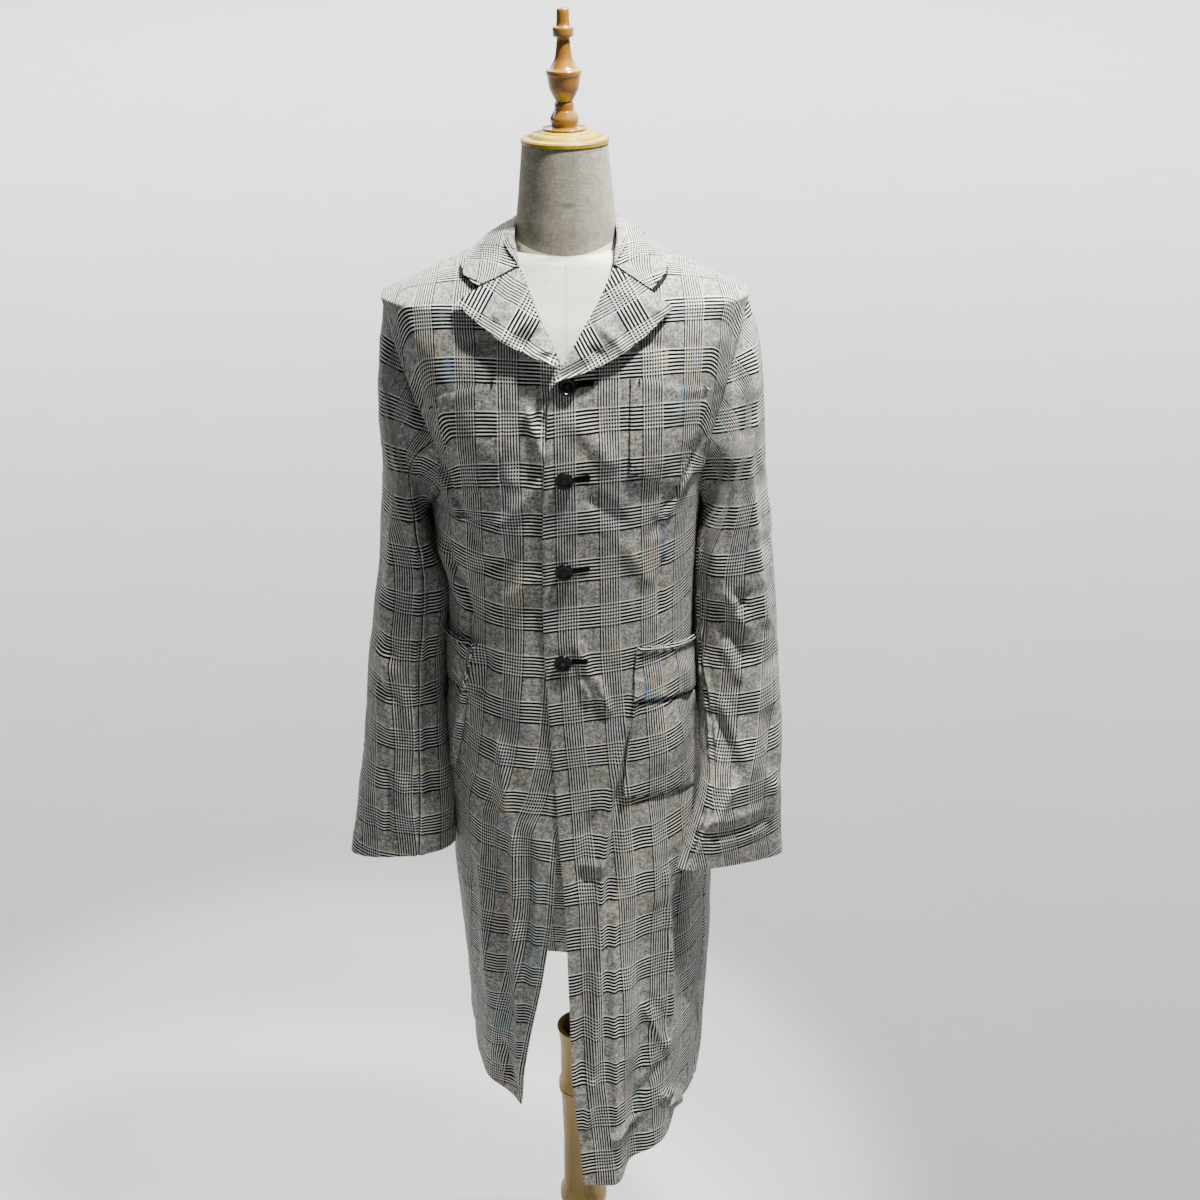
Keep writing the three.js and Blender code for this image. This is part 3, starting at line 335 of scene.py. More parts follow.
def back_place(across, up):
    """Height and angle on the back, from the wearer's left side seam round to the right one."""
    left_half = across < 0.5
    from_centre = np.abs(across - 0.5) * 2

    def seam(z):
        right = np.radians(column(SIDE_SEAMS, "z", "right", z)) + SEAM_SHIFT
        left = np.radians(360 + column(SIDE_SEAMS, "z", "left", z)) - SEAM_SHIFT
        return np.where(left_half, right, left)

    def arm(z):
        right = np.maximum(np.pi - armhole_angle(z, "backRight"), QUARTER + SEAM_SHIFT)
        left = np.maximum(np.pi - armhole_angle(z, "backLeft"), QUARTER + SEAM_SHIFT)
        return np.where(left_half, right, 2 * np.pi - left)

    t = up / SKIRT_SHARE
    low_angle = lerp(np.pi, seam(lerp(HEM_GUESS_Z, UNDERARM_Z, t)), from_centre)
    signed = np.where(low_angle > np.pi, low_angle - 2 * np.pi, low_angle)
    low_z = lerp(column(HEM, "degrees", "z", np.degrees(signed)), UNDERARM_Z, t)
    t = upper_share(np.maximum(up, SKIRT_SHARE))
    neck_half = 0.36
    outward = (from_centre - neck_half) / (1 - neck_half)
    top = np.where(from_centre < neck_half, NECK_POINT_Z, lerp(NECK_POINT_Z, SHOULDER_TIP_Z, outward))
    tip_angle = arm(lerp(UNDERARM_Z, SHOULDER_TIP_Z, t))
    spread = lerp(from_centre, clamp01(from_centre / neck_half), t**3)
    high_angle = lerp(np.pi, tip_angle, spread)
    low = up <= SKIRT_SHARE
    return np.where(low, low_z, lerp(UNDERARM_Z, top, t)), np.where(low, signed, high_angle)


def armhole_point(side, turn):
    """Points round an armhole, down its front half and back up behind."""
    hole = "Right" if side > 0 else "Left"
    on_front = turn <= 0.5
    t = np.where(on_front, turn * 2, (1 - turn) * 2)
    z = lerp(SHOULDER_TIP_Z, UNDERARM_Z, smooth(t) * 0.5 + t * 0.5)
    half = np.where(on_front, armhole_angle(z, "front" + hole), armhole_angle(z, "back" + hole))
    angle = side * np.where(on_front, half, np.pi - half)
    point = body_point(z, angle, -CLOTH - 0.7, FRONT_OF[side])
    point[..., 0] -= side * ARMHOLE_TUCK * (1 - 0.6 * t)
    point[..., 2] += 0.6 * t - 2.0 * (1 - t)
    return point


def sleeve_point(side, turn, down):
    """Points of a sleeve on a smooth curve from the armhole through its rings, for arrays."""
    rows = SLEEVES[side]
    turn = np.mod(turn, 1.0)
    outward, forward = np.cos(turn * 2 * np.pi), np.sin(turn * 2 * np.pi)
    rings = [armhole_point(side, turn)]
    for i in range(len(rows["z"])):
        wide = rows["wide"][i] * power(outward, SLEEVE_ROUND) * side
        deep = -rows["deep"][i] * power(forward, SLEEVE_ROUND)
        yaw = math.radians(rows["turn"][i])
        rings.append(np.stack([
            rows["x"][i] + wide * math.cos(yaw) - deep * math.sin(yaw),
            rows["y"][i] + wide * math.sin(yaw) + deep * math.cos(yaw),
            rows["z"][i] + rows["tilt"][i] * outward,
        ], -1))
    rings = np.stack([2 * rings[0] - rings[1], *rings, 2 * rings[-1] - rings[-2]])
    place = down * (len(rings) - 3)
    i = np.minimum(place.astype(int), len(rings) - 4)
    t = (place - i)[..., None]
    cells = np.indices(turn.shape)
    p0, p1, p2, p3 = (rings[(i + k, *cells)] for k in range(4))

    def gap(a, b):
        return np.maximum(np.linalg.norm(a - b, axis=-1, keepdims=True) ** 0.5, 1e-4)

    g0, g1, g2 = gap(p0, p1), gap(p1, p2), gap(p2, p3)
    t1 = ((p1 - p0) / g0 - (p2 - p0) / (g0 + g1) + (p2 - p1) / g1) * g1
    t2 = ((p2 - p1) / g1 - (p3 - p1) / (g1 + g2) + (p3 - p2) / g2) * g1
    return p1 + t1 * t + (-3 * p1 + 3 * p2 - 2 * t1 - t2) * t**2 + (2 * p1 - 2 * p2 + t1 + t2) * t**3


def grid(rows, columns, first=0.0, last=1.0):
    """Arrays (across, up) of a grid with rows running up."""
    return np.meshgrid(np.linspace(first, last, columns), np.linspace(0, 1, rows))


def normals(points):
    across = np.gradient(points, axis=1)
    up = np.gradient(points, axis=0)
    return unit(np.cross(across, up))


def steps_along(points, axis):
    """Distance covered from the grid's first line, along an axis."""
    gaps = np.linalg.norm(np.diff(points, axis=axis), axis=-1)
    zeros = np.zeros_like(np.take(gaps, [0], axis=axis))
    return np.concatenate([zeros, np.cumsum(gaps, axis=axis)], axis=axis)


LATTICE_SIZE = 96
LATTICE = rng.normal(size=(LATTICE_SIZE, LATTICE_SIZE))
RIPPLE_LIMIT = 1.6


def ripple(u, v, size, shift=0.0):
    """Smooth random height from -1 to 1, about size millimetres from bump to bump."""
    a, b = u / size + shift, v / size + 7.3 * shift
    ia, ib = np.floor(a).astype(int), np.floor(b).astype(int)
    ta, tb = smooth(a - ia), smooth(b - ib)

    def at(di, dj):
        return LATTICE[(ia + di) % LATTICE_SIZE, (ib + dj) % LATTICE_SIZE]

    value = lerp(lerp(at(0, 0), at(1, 0), ta), lerp(at(0, 1), at(1, 1), ta), tb)
    return np.clip(value, -RIPPLE_LIMIT, RIPPLE_LIMIT) / RIPPLE_LIMIT


CREASE_DEPTH = 2.5


def creases(rows, x, z):
    """Soft ridges and troughs along lines: two ends, half width and height, in millimetres."""
    total = np.zeros(np.shape(x))
    for x0, z0, x1, z1, width, height in rows:
        height = height * CREASE_DEPTH
        dx, dz = x1 - x0, z1 - z0
        length = math.hypot(dx, dz)
        along = ((x - x0) * dx + (z - z0) * dz) / length**2
        away = ((x - x0) * dz - (z - z0) * dx) / length
        fade = smooth((along + 0.12) / 0.3) * smooth((1.12 - along) / 0.3)
        total += height * fade * ridge(away, width)
    return total


def spots(rows, x, z):
    """Soft round rises and hollows: centre, half sizes and height, in millimetres."""
    total = np.zeros(np.shape(x))
    for x0, z0, wide, tall, height in rows:
        total += height * mound(x - x0, wide, z - z0, tall)
    return total


class Cloth:
    """A grid of points on a cloth's outside, with its cloth coordinates in millimetres."""

    def __init__(self, points, uv, sign=1):
        self.points = points
        self.uv = uv
        self.sign = sign
        self.normals = normals(points) * sign

    def spot(self, x, z):
        """Point, outward normal, tangent towards +X and tangent up at a place in the front view."""
        away = (self.points[..., 0] - x) ** 2 + (self.points[..., 2] - z) ** 2
        r, c = np.unravel_index(np.argmin(away), away.shape)
        r = min(max(r, 1), self.points.shape[0] - 2)
        c = min(max(c, 1), self.points.shape[1] - 2)
        p = self.points[r, c].copy()
        e1 = self.points[r, c + 1] - self.points[r, c - 1]
        e2 = self.points[r + 1, c] - self.points[r - 1, c]
        system = np.array([[e1[0], e2[0]], [e1[2], e2[2]]])
        share = np.linalg.solve(system, np.array([x - p[0], z - p[2]]))
        p = p + share[0] * e1 + share[1] * e2
        return p, self.normals[r, c], unit(e1), unit(e2)

    def follow(self, points):
        """Cloth coordinates of points that lie on or close to this cloth."""
        flat = points.reshape(-1, 3)
        uv = np.zeros((len(flat), 2))
        e1 = np.gradient(self.points, axis=1)
        e2 = np.gradient(self.points, axis=0)
        f1 = np.gradient(self.uv, axis=1)
        f2 = np.gradient(self.uv, axis=0)
        cloud = self.points.reshape(-1, 3)
        columns = self.points.shape[1]
        for k, p in enumerate(flat):
            r, c = divmod(int(np.argmin(((cloud - p) ** 2).sum(-1))), columns)
            a, b = e1[r, c], e2[r, c]
            d = p - self.points[r, c]
            system = np.array([[a @ a, a @ b], [a @ b, b @ b]])
            share = np.linalg.solve(system, np.array([a @ d, b @ d]))
            uv[k] = self.uv[r, c] + share[0] * f1[r, c] + share[1] * f2[r, c]
        return uv.reshape(points.shape[:2] + (2,))


def mesh_object(name, vertices, faces, uvs, material, smooth_faces=True, sharp=50, marks=None):
    """Object from vertices in metres, with cloth coordinates and painted tints where there are any."""
    mesh = bpy.data.meshes.new(name)
    mesh.from_pydata(np.asarray(vertices).tolist(), [], faces)
    if uvs is not None:
        layer = mesh.uv_layers.new(name="cloth")
        loops = np.zeros(len(mesh.loops), int)
        mesh.loops.foreach_get("vertex_index", loops)
        layer.data.foreach_set("uv", np.asarray(uvs, float)[loops].ravel())
    if marks is not None:
        layer = mesh.color_attributes.new(name="tint", type="FLOAT_COLOR", domain="POINT")
        layer.data.foreach_set("color", np.asarray(marks, float).ravel())
    mesh.polygons.foreach_set("use_smooth", [smooth_faces] * len(mesh.polygons))
    if smooth_faces:
        mesh.set_sharp_from_angle(angle=math.radians(sharp))
    mesh.materials.append(material)
    mesh.update()
    obj = bpy.data.objects.new(name, mesh)
    bpy.context.scene.collection.objects.link(obj)
    return obj


UV_UNIT = 100.0
TOP_ROWS = 6


def shell(name, cloth, thickness, material, keep=None, marks=None):
    """Closed thin cloth from a grid: outside, inside and the four raw edges between them."""
    outside = cloth.points
    inside = outside - cloth.normals * thickness
    if keep is not None:
        inside[-TOP_ROWS:] = keep(inside[-TOP_ROWS:])
    rows, columns = outside.shape[:2]
    count = rows * columns
    vertices = np.concatenate([outside.reshape(-1, 3), inside.reshape(-1, 3)]) / 1000
    at = np.arange(count).reshape(rows, columns)
    quads = np.stack([at[:-1, :-1], at[:-1, 1:], at[1:, 1:], at[1:, :-1]], -1).reshape(-1, 4)
    rim = np.concatenate([at[0, :], at[1:, -1], at[-1, -2::-1], at[-2:0:-1, 0]])
    after = np.roll(rim, -1)
    walls = np.stack([after, rim, rim + count, after + count], -1)
    if cloth.sign < 0:
        quads, walls = quads[:, ::-1], walls[:, ::-1]
    faces = np.concatenate([quads, quads[:, ::-1] + count, walls]).tolist()
    uv = np.concatenate([cloth.uv.reshape(-1, 2)] * 2) / UV_UNIT
    tint = None if marks is None else np.concatenate([marks.reshape(-1, 4)] * 2)
    return mesh_object(name, vertices, faces, uv, material, marks=tint)


# Materials

class Graph:
    """Small helper for building a material from nodes."""

    def __init__(self, name):
        self.material = bpy.data.materials.new(name)
        self.material.use_nodes = True
        self.tree = self.material.node_tree
        self.shader = self.tree.nodes["Principled BSDF"]

    def feed(self, socket, value):
        if isinstance(value, bpy.types.NodeSocket):
            self.tree.links.new(value, socket)
        elif value is not None:
            socket.default_value = value

    def node(self, kind, **settings):
        node = self.tree.nodes.new(kind)
        for key, value in settings.items():
            setattr(node, key, value)
        return node

    def math(self, operation, a, b=None, c=None):
        node = self.node("ShaderNodeMath", operation=operation)
        for socket, value in zip(node.inputs, (a, b, c)):
            self.feed(socket, value)
        return node.outputs[0]

    def plus(self, a, b):
        return self.math("ADD", a, b)

    def minus(self, a, b):
        return self.math("SUBTRACT", a, b)

    def times(self, a, b):
        return self.math("MULTIPLY", a, b)

    def less(self, a, b):
        return self.math("LESS_THAN", a, b)

    def absolute(self, a):
        return self.math("ABSOLUTE", a)

    def squares(self, a, b):
        return self.plus(self.math("POWER", a, 2.0), self.math("POWER", b, 2.0))

    def phase(self, place, length):
        """Share of the way through the repeat of a length."""
        return self.math("FRACT", self.math("DIVIDE", place, length))

    def split(self, vector):
        node = self.node("ShaderNodeSeparateXYZ")
        self.feed(node.inputs[0], vector)
        return node.outputs

    def mix(self, factor, a, b, blend="MIX"):
        node = self.node("ShaderNodeMix", data_type="RGBA", blend_type=blend)
        self.feed(node.inputs[0], factor)
        self.feed(node.inputs[6], a)
        self.feed(node.inputs[7], b)
        return node.outputs[2]

    def choose(self, factor, a, b):
        node = self.node("ShaderNodeMix", data_type="FLOAT")
        self.feed(node.inputs[0], factor)
        self.feed(node.inputs[2], a)
        self.feed(node.inputs[3], b)
        return node.outputs[0]

    def coordinates(self, kind):
        return self.node("ShaderNodeTexCoord").outputs[kind]

    def mapped(self, vector, scale, location=(0, 0, 0)):
        node = self.node("ShaderNodeMapping")
        self.feed(node.inputs["Vector"], vector)
        node.inputs["Scale"].default_value = scale
        node.inputs["Location"].default_value = location
        return node.outputs[0]

    def noise(self, vector, scale, detail=2.0, roughness=0.5, distortion=0.0):
        node = self.node("ShaderNodeTexNoise")
        self.feed(node.inputs["Vector"], vector)
        node.inputs["Scale"].default_value = scale
        node.inputs["Detail"].default_value = detail
        node.inputs["Roughness"].default_value = roughness
        node.inputs["Distortion"].default_value = distortion
        return node.outputs["Fac"]

    def ramp(self, factor, stops):
        node = self.node("ShaderNodeValToRGB")
        self.feed(node.inputs["Fac"], factor)
        elements = node.color_ramp.elements
        while len(elements) < len(stops):
            elements.new(0.5)
        for element, (position, colour) in zip(elements, stops):
            element.position = position
            element.color = (*colour, 1)
        return node.outputs["Color"]

    def span(self, value, low, high, to_low=0.0, to_high=1.0):
        node = self.node("ShaderNodeMapRange")
        for socket, number in zip(node.inputs, (value, low, high, to_low, to_high)):
            self.feed(socket, number)
        return node.outputs[0]

    def bump(self, height, strength, distance):
        node = self.node("ShaderNodeBump")
        self.feed(node.inputs["Height"], height)
        node.inputs["Strength"].default_value = strength
        node.inputs["Distance"].default_value = distance
        return node.outputs[0]

    def finish(self, **values):
        for name, value in values.items():
            self.feed(self.shader.inputs[name.replace("_", " ")], value)
        return self.material


WEFT_REPEAT = 58.5
WARP_REPEAT = 49.0
WEFT_LINES = 14
WARP_LINES = 16
DARK_SHARE = 0.62
WEFT_YARN = WEFT_REPEAT / WEFT_LINES / 8
WARP_YARN = WARP_REPEAT / WARP_LINES / 8


def wool(name, shift_u, shift_v):
    """Glen check in a twill: bands of bold black and pale lines in warp and weft, and between the
    bands a mottled ground of fine grey lines. The shifts are in millimetres of cloth."""
    g = Graph(name)
    flat = g.coordinates("UV")
    across, along, _ = g.split(flat)
    sway = g.times(g.minus(g.noise(flat, 1.6, 2.0), 0.5), 2.2)
    u = g.plus(g.math("MULTIPLY_ADD", across, UV_UNIT, shift_u), sway)
    v = g.plus(g.math("MULTIPLY_ADD", along, UV_UNIT, shift_v), sway)
    in_warp = g.less(g.phase(u, WARP_REPEAT), 0.5)
    in_weft = g.less(g.phase(v, WEFT_REPEAT), 0.5)

    def threads(place, in_band, line):
        bold_line = g.less(g.phase(place, line), DARK_SHARE)
        fine_line = g.less(g.phase(place, line / 2), 0.5)
        return g.choose(in_band, fine_line, bold_line)

    def thread_round(place, yarn):
        return g.math("SINE", g.times(g.phase(place, yarn), math.pi))

    warp_dark = threads(u, in_warp, WARP_REPEAT / WARP_LINES)
    weft_dark = threads(v, in_weft, WEFT_REPEAT / WEFT_LINES)
    i = g.math("FLOOR", g.math("DIVIDE", u, WARP_YARN))
    j = g.math("FLOOR", g.math("DIVIDE", v, WEFT_YARN))
    twill = g.math("MODULO", g.plus(g.plus(i, j), 4000), 4)
    level = g.math("MULTIPLY_ADD", in_warp, -1.7, g.math("MULTIPLY_ADD", in_weft, 2.0, 1.5))
    over = g.less(twill, level)
    dark = g.choose(over, warp_dark, weft_dark)
    bold = g.math("MAXIMUM", g.times(in_warp, 0.75), in_weft)
    fibres = g.noise(flat, 34, 4.0, 0.65)
    blotches = g.noise(g.mapped(flat, (1, 1, 1), (6, 2, 0)), 13, 3.0, 0.6)
    mottle = g.choose(0.36, fibres, blotches)
    cloud = g.noise(g.mapped(flat, (1, 0.5, 1), (3, 1, 0)), 2.4, 2.0, 0.5)
    ground_light = g.ramp(mottle, [
        (0.38, (0.20, 0.198, 0.18)), (0.49, (0.48, 0.47, 0.425)), (0.61, (0.90, 0.885, 0.81)),
    ])
    band_light = g.ramp(mottle, [
        (0.38, (0.72, 0.71, 0.66)), (0.5, (0.92, 0.91, 0.86)), (0.62, (0.97, 0.965, 0.93)),
    ])
    light = g.mix(bold, ground_light, band_light)
    ground_dark = g.ramp(mottle, [
        (0.38, (0.06, 0.06, 0.057)), (0.49, (0.18, 0.178, 0.165)), (0.61, (0.44, 0.435, 0.40)),
    ])
    band_dark = g.ramp(mottle, [(0.38, (0.002, 0.002, 0.003)), (0.62, (0.012, 0.012, 0.014))])
    black = g.mix(bold, ground_dark, band_dark)
    colour = g.mix(dark, light, black)
    dabs = g.noise(g.mapped(flat, (1.0, 0.45, 1), (5, 2, 0)), 5.5, 2.0, 0.6)
    hue = g.noise(g.mapped(flat, (1, 0.6, 1), (9, 4, 0)), 3.1, 1.0)
    dab_colour = g.ramp(hue, [
        (0.42, (0.12, 0.36, 0.42)), (0.5, (0.16, 0.24, 0.50)), (0.52, (0.58, 0.36, 0.18)),
        (0.6, (0.62, 0.50, 0.28)),
    ])
    colour = g.mix(g.times(g.span(dabs, 0.62, 0.72), 0.3), colour, dab_colour)
    painted = g.node("ShaderNodeVertexColor", layer_name="tint")
    strength = g.times(painted.outputs["Alpha"], g.span(mottle, 0.42, 0.56, 0.15, 1.0))
    colour = g.mix(strength, colour, painted.outputs["Color"])
    tone = g.ramp(cloud, [(0.3, (0.84, 0.87, 0.90)), (0.7, (1.0, 0.98, 0.93))])
    colour = g.mix(1.0, colour, tone, "MULTIPLY")
    rounds = g.choose(over, thread_round(u, WARP_YARN), thread_round(v, WEFT_YARN))
    nap = g.noise(flat, 60, 3.0, 0.7)
    height = g.plus(rounds, g.times(nap, 1.4))
    rough = g.span(mottle, 0.3, 0.7, 0.78, 0.92)
    g.shader.inputs["Sheen Weight"].default_value = 0.02
    g.shader.inputs["Sheen Roughness"].default_value = 0.4
    g.shader.inputs["Specular IOR Level"].default_value = 0.15
    return g.finish(Base_Color=colour, Roughness=rough, Normal=g.bump(height, 0.4, 0.0003))


def plain_material(name, dark, light, scale, roughness, stretch=(1, 1, 1), sheen=0.0):
    g = Graph(name)
    fine = g.noise(g.mapped(g.coordinates("Object"), stretch), scale, 4.0, 0.6)
    colour = g.ramp(fine, [(0.3, dark), (0.7, light)])
    g.shader.inputs["Sheen Weight"].default_value = sheen
    rough = g.span(fine, 0.3, 0.7, roughness, roughness + 0.12)
    return g.finish(Base_Color=colour, Roughness=rough, Normal=g.bump(fine, 0.3, 0.0002))


# Radii, in metres, of the lines turned in the neck cap
CAP_LINES = (0.0392, 0.0292, 0.0479)


def wood(name, dark, light, line, roughness, coat, tall=0.06, rings=()):
    """Turned wood with grain that runs along the axis and darker turned lines at some radii."""
    g = Graph(name)
    place = g.coordinates("Object")
    streaks = g.noise(g.mapped(place, (1, 1, tall)), 160, 5.0, 0.65, 0.4)
    broad = g.noise(g.mapped(place, (1, 1, tall * 2), (2, 0, 1)), 34, 3.0, 0.5, 0.8)
    colour = g.ramp(broad, [(0.28, dark), (0.55, light), (0.8, light)])
    colour = g.mix(g.span(streaks, 0.56, 0.72, 0, 0.55), colour, (*line, 1))
    x, y, _ = g.split(place)
    radius = g.math("SQRT", g.squares(g.minus(x, NECK_OFFSET / 1000), y))
    for ring in rings:
        away = g.absolute(g.minus(radius, ring))
        colour = g.mix(g.span(away, 0.0004, 0.0011, 0.75, 0.0), colour, (*line, 1))
    g.shader.inputs["Coat Weight"].default_value = coat
    g.shader.inputs["Coat Roughness"].default_value = 0.08
    rough = g.span(streaks, 0.3, 0.7, roughness, roughness + 0.15)
    return g.finish(Base_Color=colour, Roughness=rough, Normal=g.bump(streaks, 0.25, 0.0002))


def linen():
    """Woven linen: grey on the neck, its own grey darkened further by painted shade from the cap, pale
    below its seam, with a middle seam and a small oval mark.
    """
    g = Graph("form_linen")
    place = g.coordinates("Object")
    across = g.noise(g.mapped(place, (0.25, 0.25, 3.2)), 420, 2.0, 0.6)
    along = g.noise(g.mapped(place, (3.2, 3.2, 0.25)), 420, 2.0, 0.6)
    weave = g.times(g.plus(across, along), 0.5)
    slub = g.noise(place, 90, 3.0, 0.7)
    shade = g.plus(g.times(weave, 0.7), g.times(slub, 0.3))
    # The neck's ramp is partly the neck linen's own grey and partly painted shade that stands in for
    # the cap's shadow.
    neck = g.ramp(shade, [
        (0.36, (0.16, 0.145, 0.112)), (0.5, (0.25, 0.227, 0.182)), (0.64, (0.41, 0.38, 0.315)),
    ])
    body = g.ramp(shade, [
        (0.36, (0.62, 0.60, 0.50)), (0.5, (0.78, 0.76, 0.67)), (0.64, (0.88, 0.87, 0.80)),
    ])
    x, y, z = g.split(place)
    ahead = g.minus(x, NECK_OFFSET / 1000)
    over = g.minus(z, g.math("MULTIPLY_ADD", g.math("POWER", ahead, 2.0), 3.6, 1.5495))
    colour = g.mix(g.math("GREATER_THAN", over, 0.0), body, neck)
    arc = g.span(g.absolute(over), 0.0003, 0.0011, 0.6, 0.0)
    centre = g.times(g.span(g.absolute(ahead), 0.0003, 0.0009, 0.4, 0.0), g.less(over, 0.0))
    oval_x = g.math("DIVIDE", g.minus(x, 0.0018), 0.0088)
    oval_z = g.math("DIVIDE", g.minus(z, 1.6034), 0.0027)
    mark = g.times(g.span(g.squares(oval_x, oval_z), 0.6, 1.1, 0.85, 0.0), g.less(y, 0.0))
    line = g.math("MAXIMUM", g.math("MAXIMUM", arc, centre), mark)
    colour = g.mix(line, colour, (0.16, 0.14, 0.11, 1))
    g.shader.inputs["Sheen Weight"].default_value = 0.1
    rough = g.span(slub, 0.3, 0.7, 0.82, 0.95)
    return g.finish(Base_Color=colour, Roughness=rough, Normal=g.bump(weave, 0.5, 0.0004))


MATERIALS = {
    "front_left": wool("wool_front_left", -16.0, 8.8),
    "front_right": wool("wool_front_right", -31.5, 13.8),
    "back": wool("wool_back", 13.0, 8.0),
    "sleeve_left": wool("wool_sleeve_left", 4.0, 30.0),
    "sleeve_right": wool("wool_sleeve_right", 20.0, 14.0),
    "lapel": wool("wool_lapel", 8.0, 20.0),
    "collar": wool("wool_collar", 30.0, 12.0),
    "linen": linen(),
    "cap": wood("cap_wood", (0.27, 0.175, 0.002), (0.50, 0.36, 0.008), (0.08, 0.045, 0.002),
                0.4, 0.1, 0.5, CAP_LINES),
    "finial": wood("finial_wood", (0.075, 0.028, 0.004), (0.25, 0.115, 0.016),
                   (0.035, 0.012, 0.002), 0.18, 0.6),
    "pole": wood("pole_wood", (0.25, 0.145, 0.018), (0.45, 0.305, 0.058), (0.12, 0.062, 0.008),
                 0.42, 0.12, 0.05),
    "steel": plain_material("rod_steel", (0.42, 0.42, 0.43), (0.6, 0.6, 0.61), 300, 0.3, (1, 1, 0.05)),
    "button": plain_material("black_button", (0.003, 0.003, 0.004), (0.009, 0.009, 0.010), 900, 0.14),
    "grey_thread": plain_material("grey_thread", (0.03, 0.03, 0.033), (0.10, 0.10, 0.105), 1600, 0.6,
                                  sheen=0.2),
    "thread": plain_material("black_thread", (0.002, 0.002, 0.0025), (0.008, 0.008, 0.009), 1600, 0.7),
}
for name, socket, level in (
    ("steel", "Metallic", 1.0),
    ("button", "Specular IOR Level", 0.4),
    ("thread", "Specular IOR Level", 0.15),
):
    MATERIALS[name].node_tree.nodes["Principled BSDF"].inputs[socket].default_value = level


def place(obj, node, slot):
    """Hides the CAD piece that an object replaces and attaches the object to the root."""
    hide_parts(node)
    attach(obj, "root")
    return obj


def extra(obj):
    """Ties an object that has no CAD piece of its own to the part."""
    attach(obj, "root")
    return obj


# The coat's body. Creases: two ends, half width and height. Spots: middle, half sizes and height.
# Tints: middle, half sizes, colour and strength.

FRONT_CREASES = {
    1: [
        (74, 1066, 60, 996, 5, 2.2), (60, 998, 44, 927, 5, 2.6), (44, 931, 30, 825, 5.5, 3),
        (30, 830, 27, 711, 5.5, 3), (27, 715, 17, 560, 5.5, 3), (17, 565, 9, 496, 5, 2.4),
        (52, 930, 38, 780, 8, -2.2), (62, 1000, 50, 900, 7, -2), (109, 812, 114, 734, 5, 2.4),
        (114, 738, 116, 640, 5, 2.8), (116, 644, 108, 576, 5, 2.6), (123, 812, 128, 600, 9, -3),
        (46, 788, 42, 642, 4.5, 2), (42, 646, 45, 512, 4.5, 2), (79, 644, 108, 578, 4.5, 1.4),
        (92, 650, 118, 590, 6, -1.0), (107, 661, 76, 503, 7, 1.1), (7, 1072, 19, 1045, 4, 1.6),
        (27, 1077, 41, 1028, 4.5, 2), (2, 1123, 30, 1046, 6, 1.4), (4, 834, 33, 837, 4, 1.6),
        (8, 812, 30, 820, 5, -1.4), (38, 486, 76, 499, 5, 2), (70, 520, 100, 560, 6, -2),
        (117, 500, 125, 478, 5, 4), (100, 520, 120, 505, 5, 2), (106, 1212, 101, 1184, 4, -1.2),
        (101, 1186, 102, 1142, 4, -1.2), (135, 1312, 104, 1256, 6, 2), (146, 1345, 112, 1278, 6, -1.8),
        (120, 1290, 90, 1240, 7, -1.4), (60, 1240, 90, 1180, 10, 1.2), (0, 1390, 50, 1330, 11, 1.4),
        (20, 1300, 60, 1260, 10, -1.2), (60, 1474, 120, 1452, 9, -1.2), (130, 1070, 142, 1000, 6, 1.6),
        (20, 900, 2, 800, 7, -2.2), (12, 700, 2, 560, 7, -2.4), (62, 700, 66, 560, 9, 1.6),
        (90, 900, 96, 760, 9, 1.8),
    ],
    -1: [
        (-147, 1226, -140, 1193, 4, -2), (-140, 1197, -127, 1174, 4, -2),
        (-127, 1178, -119, 1137, 4, -2), (-119, 1141, -122, 1102, 4, -1.6),
        (-156, 1216, -132, 1150, 7, 2.2), (-111, 1110, -124, 1056, 4.5, 2.4),
        (-124, 1060, -145, 968, 5, 2.4), (-145, 972, -162, 842, 6, 2), (-99, 1100, -112, 1040, 6, -1.8),
        (-75, 876, -77, 747, 5, 2.4), (-77, 751, -74, 607, 5, 2.8), (-74, 611, -80, 499, 5, 2.8),
        (-88, 870, -92, 600, 8, -2), (-89, 992, -82, 871, 7, 1.8), (-119, 833, -113, 612, 8, 2),
        (-130, 800, -128, 620, 8, -2), (-25, 1413, -39, 1376, 6, -2.6), (-45, 1397, -27, 1335, 6, 2),
        (-52, 1380, -60, 1320, 9, -1.4), (-150, 1310, -123, 1255, 6, 2.2),
        (-158, 1346, -131, 1277, 6, -2), (-136, 1290, -108, 1230, 7, -1.6),
        (-28, 1320, -83, 1253, 8, 1.6), (-27, 1208, -80, 1167, 8, 1.4),
        (-60, 1230, -110, 1200, 9, -1.4), (-64, 1476, -124, 1458, 9, -1.2),
        (-56, 860, -60, 700, 7, -1.6), (-48, 820, -58, 640, 7, 1.4), (-100, 560, -88, 500, 6, -2),
        (-106, 940, -100, 800, 9, -1.4),
    ],
}
FRONT_SPOTS = {
    1: [(100, 1030, 30, 40, 2.5), (88, 1345, 28, 40, 1.2), (60, 600, 22, 60, 2.2)],
    -1: [(-128, 1060, 22, 60, 3.0), (-100, 1350, 26, 40, 1.2), (-100, 690, 20, 80, 1.6)],
}
TEAL = (0.10, 0.36, 0.42)
BLUE = (0.13, 0.30, 0.62)
RUST = (0.62, 0.36, 0.17)
SAND = (0.66, 0.56, 0.34)
